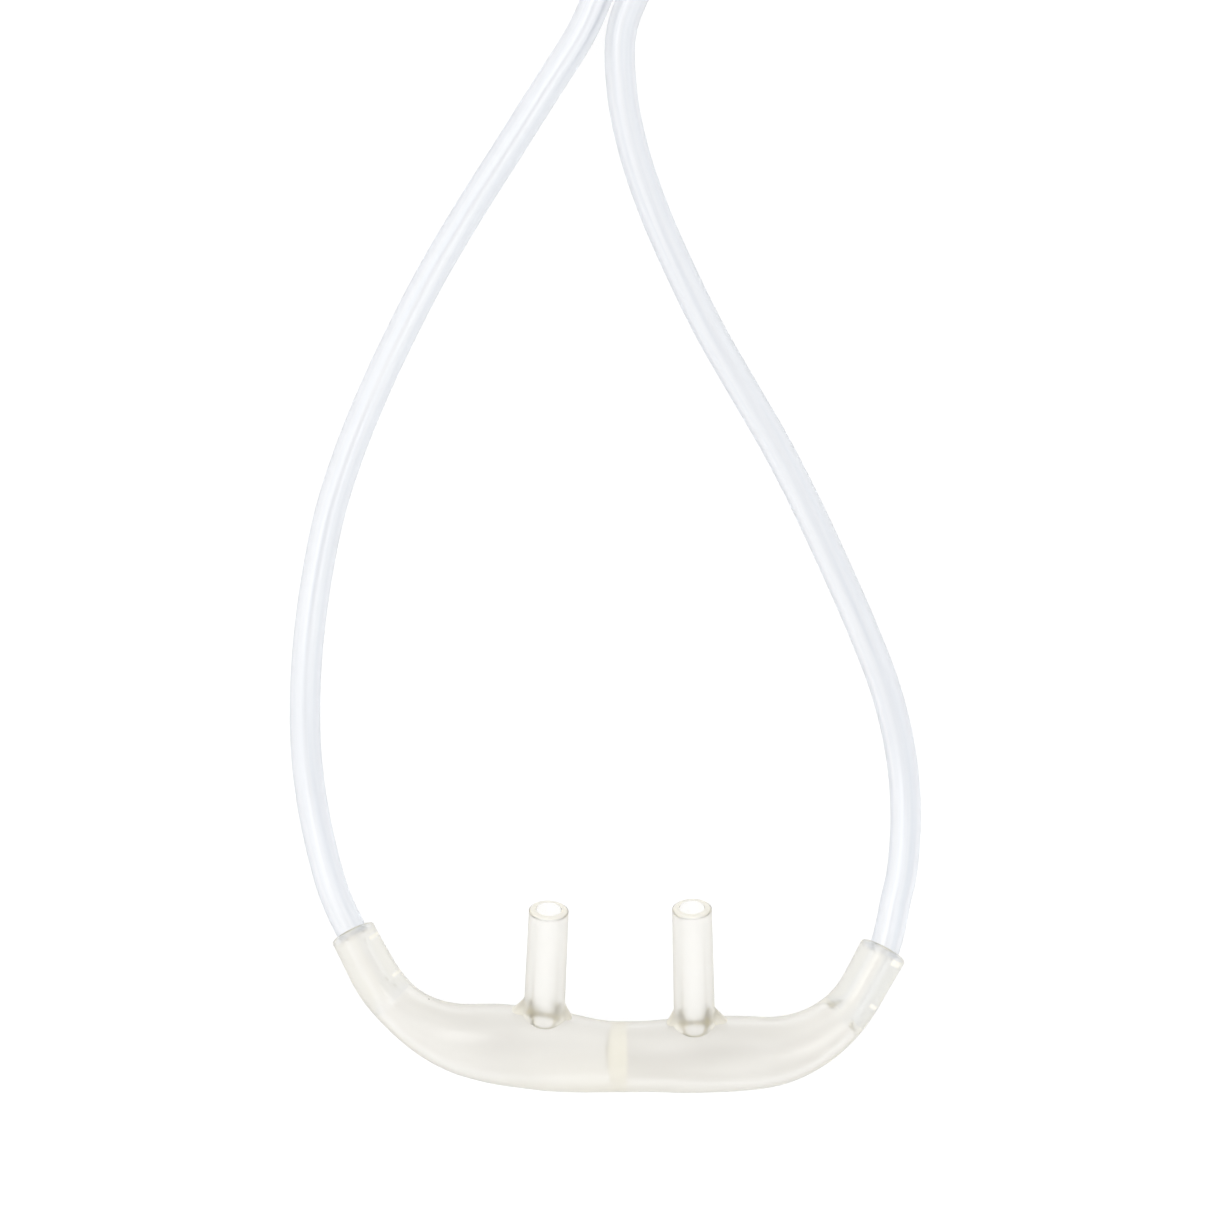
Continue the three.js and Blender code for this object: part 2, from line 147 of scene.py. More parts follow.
class Bench:
    """A node tree with the one method that adds nodes to it."""

    def __init__(self, tree: bpy.types.NodeTree) -> None:
        """Starts from an empty tree.

        Args:
            tree: The node tree of a material or of the world.
        """
        self.tree = tree
        tree.nodes.clear()

    def node(
        self,
        kind: str,
        settings: Mapping[str, Any] | None = None,
        inputs: Mapping[Union[str, int], Any] | None = None,
        output: Union[str, int] = 0,
    ) -> Wire:
        """Adds a node.

        Args:
            kind: Blender's name for the node's type.
            settings: Properties that are set first. The key stops holds a ramp's positions and colours.
            inputs: Values or wires for its sockets, by name or place.
            output: The output that the wire leaves from.

        Returns:
            The wire of that output.
        """
        made = self.tree.nodes.new(kind)
        for name, value in (settings or {}).items():
            if name == "stops":
                self._set_stops(made.color_ramp, value)
            else:
                setattr(made, name, value)
        for name, value in (inputs or {}).items():
            if isinstance(value, Wire):
                self.tree.links.new(value.socket, made.inputs[name])
            else:
                made.inputs[name].default_value = value
        return Wire(self, made.outputs[output]) if made.outputs else Wire(self, None)

    @staticmethod
    def _set_stops(ramp: bpy.types.ColorRamp, stops: Sequence[tuple[float, Colour]]) -> None:
        """Gives a ramp its stops.

        Args:
            ramp: The ramp of the node.
            stops: Position and colour of each.
        """
        while len(ramp.elements) < len(stops):
            ramp.elements.new(1.0)
        for element, (position, colour) in zip(ramp.elements, stops):
            element.position = position
            element.color = (*colour, 1.0)

    def mix(self, factor: Term, first: Any, second: Any) -> Wire:
        """Mixes two colours.

        Args:
            factor: Share of the second colour.
            first: Colour or wire.
            second: Colour or wire.

        Returns:
            The mixed colour.
        """
        settings = {"data_type": "RGBA", "blend_type": "MIX"}
        wired = {key: value if isinstance(value, Wire) else (*value, 1.0) for key, value in ((6, first), (7, second))}
        return self.node("ShaderNodeMix", settings, {0: factor, **wired}, output=2)

    def noise(self, where: Wire, scale: float, detail: float = 2.0) -> Wire:
        """Adds a noise texture.

        Args:
            where: Coordinates.
            scale: Its scale, in bumps per metre.
            detail: How many finer layers it has.

        Returns:
            The noise, between 0 and 1.
        """
        return self.node("ShaderNodeTexNoise", {}, {"Vector": where, "Scale": scale, "Detail": detail}, "Fac")

    def position(self) -> Wire:
        """Gives the place on the object in metres."""
        return self.node("ShaderNodeTexCoord", output="Object")

    def attribute(self, name: str, output: str) -> Wire:
        """Reads a named attribute of the mesh."""
        return self.node("ShaderNodeAttribute", {"attribute_name": name}, output=output)

    def stretched(self, where: Wire, scale: Sequence[float]) -> Wire:
        """Scales coordinates by a different amount along each axis."""
        return self.node("ShaderNodeVectorMath", {"operation": "MULTIPLY"}, {0: where, 1: tuple(scale)})

    def bump(self, height: Wire, depth: float, strength: float = 1.0) -> Wire:
        """Turns a height into a normal, with the depth in metres."""
        return self.node("ShaderNodeBump", {}, {"Height": height, "Distance": depth, "Strength": strength})


@dataclass(frozen=True)
class Finish:
    """What all finishes share: a name and the start of a material."""

    name: str

    def start(self) -> tuple[bpy.types.Material, Bench]:
        """Makes the empty material.

        Returns:
            The material and the bench of its nodes.
        """
        material = bpy.data.materials.new(self.name)
        material.use_nodes = True
        return material, Bench(material.node_tree)


@dataclass(frozen=True)
class ClearPlastic(Finish):
    """A clear plastic that light passes through, tinted a little at its surface and a little in its depth.

    A mesh's surface attribute holds the share of the painted shade tint in X, 1 on inner surfaces in Y, and 1 on cut
    tips in Z. Its other attribute holds painted light and shade: white painted light in X, a dark rim line of painted
    shade in Y, and in Z the bluish tint of the seated tube, darkened as painted shade.
    """

    tint: Colour
    shade: Colour
    depth_colour: Colour
    depth_density: float
    clarity: float = 0.9
    ior: float = 1.52
    roughness: tuple[float, float] = (0.28, 0.31)
    inner_roughness: float = 0.1
    tip_roughness: float = 0.5
    # The next two colours are painted shade: a darker grey for the chambers, arms and skin, and for the dark lines and
    # darker side of the tubes.
    painted_shade_tint: Colour = (1.0, 1.0, 1.0)
    painted_shade_deep: Colour = (1.0, 1.0, 1.0)
    ripple: float = 0.02
    specks: float = 0.0
    # The next colour is painted light, a white mixed in as a diffuse; the one after paints a dark rim line as painted
    # shade; the last is the bluish tint of the seated tube, darkened as painted shade.
    painted_light_colour: Colour | None = None
    rim_shade_tint: Colour = (0.62, 0.6, 0.47)
    cool_tint_and_shade: Colour = (0.84, 0.855, 0.88)
    BANDS: ClassVar[Sequence[tuple[float, Colour]]] = ((0.42, (0.0, 0.0, 0.0)), (0.66, (1.0, 1.0, 1.0)))
    RIPPLE_SCALE: ClassVar[float] = 260.0
    STREAK_SCALE: ClassVar[float] = 420.0
    CLOUD_SCALE: ClassVar[float] = 330.0
    DRAWN_SCALES: ClassVar[tuple[float, float]] = (3.4, 1.2)
    SPECK_SCALES: ClassVar[tuple[float, float]] = (190.0, 95.0)
    SPECK_RARITY: ClassVar[float] = 0.63
    SPECK_COLOUR: ClassVar[Colour] = (0.16, 0.15, 0.12)

    def material(self, along: bool = False) -> bpy.types.Material:
        """Builds the material.

        Args:
            along: True where the mesh carries the grain attribute, for streaks that follow a drawn tube.

        Returns:
            The finished material.
        """
        material, bench = self.start()
        place = bench.position()
        if along:
            grain = bench.attribute("grain", "Vector")
            streaks = bench.noise(bench.stretched(grain, (1.0, 1.0, 0.01)), self.DRAWN_SCALES[0], 2.0)
            mottle = bench.noise(bench.stretched(grain, (1.0, 1.0, 0.05)), self.DRAWN_SCALES[1], 1.0)
            relief = streaks + mottle * 0.5
            cloud = streaks
        else:
            streaks = bench.noise(bench.stretched(place, (0.35, 1.0, 1.0)), self.STREAK_SCALE, 3.0)
            mottle = bench.noise(place, self.RIPPLE_SCALE * 0.5, 2.0)
            relief = bench.noise(place, self.RIPPLE_SCALE, 2.0) + streaks * 0.3
            cloud = bench.noise(bench.stretched(place, (0.3, 1.0, 1.0)), self.CLOUD_SCALE, 1.0) * 0.7 + mottle * 0.3
        bands = bench.node("ShaderNodeValToRGB", {"stops": self.BANDS}, {"Fac": cloud}, "Color")
        surfaces = bench.attribute("surface", "Vector")
        parted = {part: bench.node("ShaderNodeSeparateXYZ", {}, {0: surfaces}, output=part) for part in "XYZ"}
        # Painted shade: the darker grey, laid on where the surface attribute's X asks for it.
        core = bench.mix(bands, self.painted_shade_tint, self.painted_shade_deep)
        colour = bench.mix(parted["X"], bench.mix(bands, self.tint, self.shade), core)
        if self.specks:
            cells = {"Vector": place, "Scale": self.SPECK_SCALES[0]}
            near = bench.node("ShaderNodeTexVoronoi", {}, cells, "Distance").below(self.specks)
            rare = bench.noise(place, self.SPECK_SCALES[1], 0.0).above(self.SPECK_RARITY)
            colour = bench.mix(near * rare, colour, self.SPECK_COLOUR)
        # Painted light and shade from the other attribute: Y lays a dark rim line of painted shade, Z the bluish tint
        # of the seated tube, darkened as painted shade.
        painted_light_marks = bench.attribute("painted_light", "Vector")
        painted = {part: bench.node("ShaderNodeSeparateXYZ", {}, {0: painted_light_marks}, output=part) for part in "XYZ"}
        if self.painted_light_colour:
            colour = bench.mix(painted["Y"], bench.mix(painted["Z"], colour, self.cool_tint_and_shade), self.rim_shade_tint)
        drop = self.roughness[0] - self.inner_roughness
        rough = streaks.spread(*self.roughness) - parted["Y"] * drop + parted["Z"] * self.tip_roughness
        surface = bench.node(
            "ShaderNodeBsdfPrincipled",
            {},
            {
                "Base Color": colour,
                "Roughness": rough,
                "IOR": self.ior,
                "Transmission Weight": self.clarity,
                "Normal": bench.bump(relief, self.ripple * MM),
            },
        )
        # Painted light: a white diffuse mixed in on the tips, the tops of the webs and the tick glints.
        if self.painted_light_colour:
            painted_light_bsdf = bench.node("ShaderNodeBsdfDiffuse", {}, {"Color": (*self.painted_light_colour, 1.0)})
            surface = bench.node("ShaderNodeMixShader", {}, {0: painted["X"], 1: surface, 2: painted_light_bsdf})
        volume = bench.node(
            "ShaderNodeVolumeAbsorption", {}, {"Color": (*self.depth_colour, 1.0), "Density": self.depth_density}
        )
        bench.node("ShaderNodeOutputMaterial", {}, {"Surface": surface, "Volume": volume})
        return material


@dataclass(frozen=True)
class CoatedPaper(Finish):
    """White paper with a thin coat, pressed over a wire."""

    colour: Colour = (0.9, 0.9, 0.88)
    worn: Colour = (0.8, 0.79, 0.76)

    def material(self) -> bpy.types.Material:
        """Builds the material: short fibres, faint creases across and soft wear.

        Returns:
            The finished material.
        """
        material, bench = self.start()
        place = bench.position()
        fibres = bench.noise(bench.stretched(place, (1.0, 4.0, 1.0)), 1900.0, 4.0)
        creases = bench.noise(bench.stretched(place, (1.0, 0.15, 1.0)), 900.0, 2.0)
        wear = bench.noise(place, 240.0, 3.0)
        surface = bench.node(
            "ShaderNodeBsdfPrincipled",
            {},
            {
                "Base Color": bench.mix(fibres * wear, self.colour, self.worn),
                "Roughness": wear.spread(0.45, 0.75),
                "Normal": bench.bump(fibres * 0.4 + creases, 0.05 * MM),
            },
        )
        bench.node("ShaderNodeOutputMaterial", {}, {"Surface": surface})
        return material


@dataclass(frozen=True)
class StudioPaper(Finish):
    """The pale sweep that the cannula lies on."""

    colour: Colour = (0.16, 0.16, 0.16)
    shade: Colour = (0.15, 0.15, 0.15)
    glow: float = 0.9

    def material(self) -> bpy.types.Material:
        """Builds the material: almost even, with a very faint tooth.

        Returns:
            The finished material.
        """
        material, bench = self.start()
        tooth = bench.noise(bench.position(), 800.0, 2.0)
        surface = bench.node(
            "ShaderNodeBsdfPrincipled",
            {},
            {
                "Base Color": bench.mix(tooth, self.colour, self.shade),
                "Roughness": 0.9,
                "Specular IOR Level": 0.0,
                "Emission Color": (1.0, 1.0, 1.0, 1.0),
                "Emission Strength": self.glow,
            },
        )
        bench.node("ShaderNodeOutputMaterial", {}, {"Surface": surface})
        return material


CLEAR_VINYL = ClearPlastic(
    name="clear_moulded_vinyl",
    tint=(1.0, 0.998, 0.992),
    shade=(0.99, 0.986, 0.976),
    # Painted shade, for the chambers and, in part, the arms, socket and skin.
    painted_shade_tint=(0.938, 0.928, 0.908),
    painted_shade_deep=(0.853, 0.841, 0.818),
    depth_colour=(0.825, 0.675, 0.09),
    depth_density=24.0,
    clarity=0.98,
    roughness=(0.276, 0.285),
    inner_roughness=0.05,
    tip_roughness=0.25,
    ripple=0.015,
    specks=0.045,
    # Painted light: white on the tips, the tops of the webs and the tick glints.
    painted_light_colour=(0.965, 0.94, 0.86),
)
CLEAR_TUBING = ClearPlastic(
    name="clear_drawn_tubing",
    tint=(0.998, 0.999, 1.0),
    shade=(0.9, 0.915, 0.937),
    depth_colour=(0.2, 0.47, 0.87),
    depth_density=15.0,
    # Painted shade, for the dark line, the darker left edge and the darker right side of each tube.
    painted_shade_tint=(0.8, 0.825, 0.86),
    painted_shade_deep=(0.75, 0.78, 0.82),
    clarity=0.97,
    roughness=(0.276, 0.285),
    inner_roughness=0.04,
    ripple=0.012,
)
SLIDE_VINYL = ClearPlastic(
    name="satin_slide_vinyl",
    tint=(0.93, 0.935, 0.935),
    shade=(0.9, 0.905, 0.905),
    depth_colour=(0.5, 0.55, 0.6),
    depth_density=40.0,
    clarity=0.8,
    roughness=(0.12, 0.25),
)
LUER_PLASTIC = ClearPlastic(
    name="clear_rigid_plastic",
    tint=(0.95, 0.96, 0.97),
    shade=(0.93, 0.94, 0.955),
    depth_colour=(0.6, 0.7, 0.8),
    depth_density=40.0,
    clarity=0.85,
    ior=1.57,
    roughness=(0.02, 0.1),
)
FUNNEL_VINYL = ClearPlastic(
    name="pale_green_vinyl",
    tint=(0.72, 0.9, 0.78),
    shade=(0.66, 0.87, 0.73),
    depth_colour=(0.25, 0.85, 0.5),
    depth_density=70.0,
    clarity=0.7,
    roughness=(0.12, 0.28),
)
TIE_PAPER = CoatedPaper(name="white_coated_paper")
SWEEP_PAPER = StudioPaper(name="pale_studio_paper")


# Lines and skins


class Route:
    """A smooth line through chosen points, the same curve that the part's own tubes follow."""

    SAMPLES = 14

    def __init__(self, points: Sequence[Sequence[float]]) -> None:
        """Keeps the points that the line passes through."""
        self.points = np.asarray(points, float)

    def line(self, step: float) -> np.ndarray:
        """Gives points at even distances along the curve.

        Args:
            step: Distance wished for between them.

        Returns:
            One row of x, y and z for each point.
        """
        p = self.points
        knots = np.vstack([2 * p[0] - p[1], p, 2 * p[-1] - p[-2]])
        share = np.linspace(0, 1, self.SAMPLES, endpoint=False)[:, None]
        dense = []
        for a, b, c, d in zip(knots, knots[1:], knots[2:], knots[3:]):
            before, here, after = (max(np.linalg.norm(v - u) ** 0.5, 1e-4) for u, v in ((a, b), (b, c), (c, d)))
            leave = ((b - a) / before - (c - a) / (before + here) + (c - b) / here) * here
            arrive = ((c - b) / here - (d - b) / (here + after) + (d - c) / after) * here
            dense.append(
                (2 * share**3 - 3 * share**2 + 1) * b
                + (share**3 - 2 * share**2 + share) * leave
                + (3 * share**2 - 2 * share**3) * c
                + (share**3 - share**2) * arrive
            )
        return even(np.vstack([*dense, p[-1:]]), step)


def even(line: np.ndarray, step: float) -> np.ndarray:
    """Spaces a line's points evenly.

    Args:
        line: Points of the line.
        step: Distance wished for between them.

    Returns:
        The new points, with both ends kept.
    """
    travelled = np.concatenate([[0.0], np.cumsum(np.linalg.norm(np.diff(line, axis=0), axis=1))])
    count = max(2, round(travelled[-1] / step) + 1)
    wished = np.linspace(0, travelled[-1], count)
    return np.stack([np.interp(wished, travelled, line[:, axis]) for axis in range(3)], axis=1)


def length_of(line: np.ndarray) -> float:
    """Adds up the distances between a line's points."""
    return float(np.linalg.norm(np.diff(line, axis=0), axis=1).sum())


def unit(vector: np.ndarray) -> np.ndarray:
    """Scales a vector to length one."""
    return vector / np.linalg.norm(vector)


def sections_along(line: np.ndarray) -> list[tuple[np.ndarray, np.ndarray, np.ndarray]]:
    """Finds axes across a line that never twist suddenly.

    Args:
        line: Points of the line.

    Returns:
        For each point, two axes at right angles across the line, and its direction.
    """
    ways = np.gradient(line, axis=0)
    side = np.cross(ways[0], UP)
    found = []
    for way in ways:
        ahead = unit(way)
        side = unit(side - ahead * side.dot(ahead))
        found.append((side, np.cross(side, ahead), ahead))
    return found


def circle(centre: np.ndarray, first: np.ndarray, second: np.ndarray, radius: float, sides: int) -> np.ndarray:
    """Places the points of a circle.

    Args:
        centre: Its centre.
        first: Axis in its plane.
        second: The other axis in its plane.
        radius: Its radius.
        sides: How many points it has.

    Returns:
        The points, one row each.
    """
    angles = np.linspace(0, 2 * math.pi, sides, endpoint=False)[:, None]
    return centre + radius * (np.cos(angles) * first + np.sin(angles) * second)


def ramp(value: float, start: float, end: float) -> float:
    """Rises smoothly from 0 at start to 1 at end."""
    share = min(1.0, max(0.0, (value - start) / (end - start)))
    return share * share * (3 - 2 * share)


def blend_of(first: float, second: float, share: float) -> float:
    """Gives the number that lies at a share of the way between two."""
    return first + (second - first) * share


class Skin:
    """Collects rings of points into one closed mesh."""

    def __init__(self) -> None:
        """Starts empty."""
        self.points: list[Sequence[float]] = []
        self.faces: list[Sequence[int]] = []
        self.grain: list[Sequence[float]] = []
        self.marks: list[int] = []

    def add_rings(
        self,
        rings: Rings,
        closed: bool,
        grain: np.ndarray | None = None,
        mark: Callable[[int], "Patch"] | None = None,
    ) -> "Skin":
        """Adds a grid of rings.

        Args:
            rings: Rings with the same number of points each.
            closed: True where the last ring joins the first, as on a hollow piece. Otherwise both ends are capped.
            grain: Coordinates along the grain for each point, for streaks.
            mark: Gives the patch of the faces between a ring and the next one.

        Returns:
            This skin.
        """
        start, sides, count = len(self.points), len(rings[0]), len(rings)
        self.points.extend(np.vstack(rings).tolist())
        if grain is not None:
            self.grain.extend(grain.tolist())
        for row in range(count if closed else count - 1):
            below, above = start + row * sides, start + ((row + 1) % count) * sides
            for k in range(sides):
                following = (k + 1) % sides
                self.faces.append((below + k, below + following, above + following, above + k))
            if mark is not None:
                self.marks.extend([mark(row).value] * sides)
        if not closed:
            if mark is not None:
                self.marks.extend([mark(0).value, mark(count - 1).value])
            self.faces.append(tuple(start + k for k in reversed(range(sides))))
            self.faces.append(tuple(start + (count - 1) * sides + k for k in range(sides)))
        return self

    def make(self, name: str, sharp: float = 40.0) -> bpy.types.Object:
        """Makes the object, with its faces turned outwards and its edges over the sharp angle left crisp.

        Args:
            name: Name of the piece.
            sharp: Angle between faces from which their edge stays crisp, in degrees.

        Returns:
            The object, linked to the scene.
        """
        mesh = bpy.data.meshes.new(name)
        mesh.from_pydata((np.array(self.points) * MM).tolist(), [], self.faces)
        if self.grain:
            values = mesh.attributes.new("grain", "FLOAT_VECTOR", "POINT")
            values.data.foreach_set("vector", np.array(self.grain, np.float32).ravel())
        if self.marks:
            for patch in Patch:
                mesh.materials.append(patch_marker(patch))
            mesh.polygons.foreach_set("material_index", self.marks)
        if enclosed(mesh) < 0:
            mesh.flip_normals()
        mesh.shade_smooth()
        mesh.set_sharp_from_angle(angle=math.radians(sharp))
        made = bpy.data.objects.new(name, mesh)
        bpy.context.scene.collection.objects.link(made)
        return made


def patch_marker(patch: Patch) -> bpy.types.Material:
    """Finds or makes the plain marker that tells a patch's faces through the carving."""
    name = f"patch_{patch.name.lower()}"
    return bpy.data.materials.get(name) or bpy.data.materials.new(name)


def enclosed(mesh: bpy.types.Mesh) -> float:
    """Works out whether a closed mesh's faces point outwards.

    Args:
        mesh: The closed mesh.

    Returns:
        Six times the volume that it encloses, below 0 where its faces point inwards.
    """
    mesh.calc_loop_triangles()
    points = np.empty(len(mesh.vertices) * 3)
    mesh.vertices.foreach_get("co", points)
    corners = np.empty(len(mesh.loop_triangles) * 3, int)
    mesh.loop_triangles.foreach_get("vertices", corners)
    a, b, c = points.reshape(-1, 3)[corners.reshape(-1, 3)].transpose(1, 0, 2)
    return float(np.einsum("ij,ij->i", a, np.cross(b, c)).sum())


def dress(piece: bpy.types.Object, material: bpy.types.Material, slot: Slot, body: Body, *nodes: str) -> None:
    """Gives a piece its material, hangs it on its body and hides the CAD nodes that it stands for.

    Args:
        piece: The finished object.
        material: Its material.
        slot: The record's slot, which is only logged.
        body: The body that it rides on.
        *nodes: The CAD nodes that it stands for.
    """
    piece.data.materials.clear()
    piece.data.materials.append(material)
    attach(piece, body.value)
    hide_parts(*nodes)
    LOG.info("%s: %d faces, %s", piece.name, len(piece.data.polygons), slot.value)


# Facepiece


@dataclass(frozen=True)
class Half:
    """One half of the facepiece, from the dividing wall to the end of its arm, with its own painted shade and tick
    marks.
    """

    sign: int
    bar_slope: float
    bar_length: float
    elbow_length: float
    elbow_turn: float
    arm_length: float
    waist_from: float
    hub_radius: float
    arm_radius: float
    end_radius: float
    taper_start: float
    taper_end: float
    prong_from: float
    prong_reach: float
    prong_lean: float
    floor_wall: float
    septum_bow: float
    # Shares of painted shade for this half: the right half is painted darker, as light falls from the left.
    chamber_shade: float
    arm_cool_shade: float
    ticks: tuple[tuple[float, float], ...]

    @property
    def reach(self) -> float:
        """Length along the half, from the dividing wall to the arm's end."""
        return self.bar_length + self.elbow_length + self.arm_length


LEFT = Half(
    sign=-1,
    bar_slope=7.3,
    bar_length=17,
    elbow_length=15.4,
    elbow_turn=55,
    arm_length=4.9,
    waist_from=0,
    hub_radius=4.77,
    arm_radius=2.87,
    end_radius=2.68,
    taper_start=12.6,
    taper_end=28.4,
    prong_from=9.03,
    prong_reach=17,
    prong_lean=0.86,
    floor_wall=1.75,
    septum_bow=0.4,
    # Painted shade: lighter on the left half.
    chamber_shade=0.84,
    arm_cool_shade=0.55,
    ticks=((-28.65, 6.92), (-26.0, 2.6)),
)
RIGHT = Half(
    sign=1,
    bar_slope=1.9,
    bar_length=16.3,
    elbow_length=15.1,
    elbow_turn=59,
    arm_length=5.2,
    waist_from=2.5,
    hub_radius=4.46,
    arm_radius=2.75,
    end_radius=2.84,
    taper_start=12,
    taper_end=32,
    prong_from=9,
    prong_reach=17.85,
    prong_lean=0.55,
    floor_wall=1.35,
    septum_bow=0.04,
    # Painted shade: darker on the right half, as light falls from the left.
    chamber_shade=1.0,
    arm_cool_shade=1.0,
    ticks=((32.47, 3.64), (29.9, -1.3)),
)


@dataclass
class Facepiece:
    """The clear moulding: a hollow bar with a dividing wall, two arms with tube sockets, two prongs and their webs."""

    bar_middle: tuple[float, float] = (0.0378, -7.4303)
    waist_radius: float = 4.15
    waist_length: float = 9
    bend_length: float = 5
    wall: float = 1.0
    thin_wall: float = 0.75
    septum: float = 1.85
    socket_radius: float = 1.83
    socket_depth: float = 9.4
    seated_bore: float = 0.95
    mouth_depth: float = 0.6
    mouth_flare: float = 0.25
    mouth_tilt: float = 0.2
    rim_round: float = 0.3
    rim_rings: int = 6
    prong_base: float = 2.43
    prong_tip: float = 2.3
    prong_bore: float = 1.4
    prong_rise: float = 20
    prong_tip_rise: float = 27
    foot_fillet: float = 0.25
    foot_rise: float = 0.9
    foot_shares: tuple[float, float] = (0.2, 0.42)
    tip_round: float = 0.45
    web_thickness: float = 1.3
    web_rise: float = 1.7
    web_runs: tuple[float, float] = (1.5, 0.9)
    # The next ten fields place painted light and shade on the arms, webs and tips: a band left out of the arm's cool
    # tint as a painted highlight, white glints on the ticks, a dark line of painted shade at the rim, the arm's share
    # of painted shade, and white painted light on the tips and on the tops of the webs.
    highlight_side: float = 0.5
    highlight_width: float = 0.8
    tick_reach: tuple[float, float] = (0.24, 0.5)
    tick_glint: float = 0.8
    rim_reach: float = 0.2
    arm_shade_share: float = 0.2
    web_spread: tuple[float, float] = (1.2, 0.9)
    tip_painted_light: float = 0.65
    web_painted_light: float = 0.55
    rim_shade: float = 0.5
    bar_sides: int = 96
    core_sides: int = 80
    prong_sides: int = 72
    bar_step: float = 0.45

    @property
    def axis_height(self) -> float:
        """Height of the bar's axis over the floor."""
        return max(LEFT.hub_radius, RIGHT.hub_radius)

    def spot(self, half: Half, distance: float) -> tuple[np.ndarray, float]:
        """Finds a place on the bar's axis.

        Args:
            half: The half that it is on.
            distance: Length along it from the dividing wall.

        Returns:
            The place, and the axis's heading in radians.
        """
        straight = half.arm_length + self.socket_depth
        runs = (
            (self.bend_length, half.bar_slope),
            (half.bar_length - self.bend_length, 0),
            (half.elbow_length, half.elbow_turn),
            (straight, 0),
        )
        x = y = heading = 0.0
        for length, turn in runs:
            part = min(distance, length)
            whole = math.radians(turn)
            turned = whole * part / length
            chord = 2 * length * math.sin(turned / 2) / whole if turned else part
            x += chord * math.cos(heading + turned / 2)
            y += chord * math.sin(heading + turned / 2)
            heading += turned
            distance -= part
            if distance <= 0:
                break
        place = np.array([self.bar_middle[0] + half.sign * x, self.bar_middle[1] + y, self.axis_height])
        return place, heading

    def radius(self, half: Half, distance: float) -> float:
        """Gives the bar's radius at a place along it.

        Args:
            half: The half that it is on.
            distance: Length along it from the dividing wall.

        Returns:
            The radius.
        """
        waist = blend_of(self.waist_radius, half.hub_radius, ramp(distance, half.waist_from, self.waist_length))
        taper = blend_of(waist, half.arm_radius, ramp(distance, half.taper_start, half.taper_end))
        return blend_of(taper, half.end_radius, ramp(distance, half.taper_end, half.reach))

    def section(self, half: Half, distance: float, radius: float, sides: int, shift: float = 0.0) -> np.ndarray:
        """Places one ring across the bar.

        Args:
            half: The half that it is on.
            distance: Length along it from the dividing wall.
            radius: The ring's radius.
            sides: How many points it has.
            shift: How far its centre lies off the axis, towards the prongs.

        Returns:
            The ring's points.
        """
        centre, heading = self.spot(half, distance)
        across = np.array([-math.sin(heading) * half.sign, math.cos(heading), 0.0])
        return circle(centre + across * shift, across, UP, radius, sides)

    def bar(self) -> bpy.types.Object:
        """Lofts the bar and both arms in one closed skin, with rounded rims at the arms' ends.

        Returns:
            The solid to carve.
        """
        rings: Rings = []
        for half in (LEFT, RIGHT):
            first = 0 if half is RIGHT else self.bar_step
            stations = list(np.arange(first, half.reach - self.rim_round - 0.1, self.bar_step))
            part = [self.section(half, s, self.radius(half, s), self.bar_sides) for s in stations]
            for share in np.linspace(0, 1, self.rim_rings):
                inset = self.rim_round * (1 - math.sqrt(1 - share * share))
                place = half.reach - self.rim_round * (1 - share)
                ring = self.section(half, place, self.radius(half, half.reach) - inset, self.bar_sides)
                part.append(self.tilted(half, ring, share))
            rings = part[::-1] if half is LEFT else rings + part
        arm_rings = round((self.socket_depth - self.rim_round) / self.bar_step) + self.rim_rings - 1

        def mark(row: int) -> Patch:
            """Tells the arms' faces from the bar's."""
            return Patch.ARM if min(row, len(rings) - 1 - row) < arm_rings else Patch.SKIN

        return Skin().add_rings(rings, closed=False, mark=mark).make("bar_skin")

    def tilted(self, half: Half, ring: np.ndarray, share: float = 1.0) -> np.ndarray:
        """Leans a ring at an arm's end back from the top, as the end is cut.

        Args:
            half: The half that it is on.
            ring: The ring's points.
            share: How much of the lean it gets.

        Returns:
            The moved points.
        """
        _, heading = self.spot(half, half.reach)
        along = np.array([math.cos(heading) * half.sign, math.sin(heading), 0.0])
        return ring + np.outer((ring[:, 2] - self.axis_height) * self.mouth_tilt * share, along)

    def core_sizes(self, half: Half, distance: float) -> tuple[float, float]:
        """Gives the chamber's radius and how far it lies towards the prongs.

        Args:
            half: The half that it is in.
            distance: Length along it from the dividing wall.

        Returns:
            Radius and shift.
        """
        outside = self.radius(half, distance)
        thick = blend_of(half.floor_wall, self.wall, ramp(distance, 2, 17))
        thin = blend_of(self.thin_wall, self.wall, ramp(distance, 6, 22))
        radius = max(self.socket_radius, outside - (thick + thin) / 2)
        return radius, (thick - thin) / 2

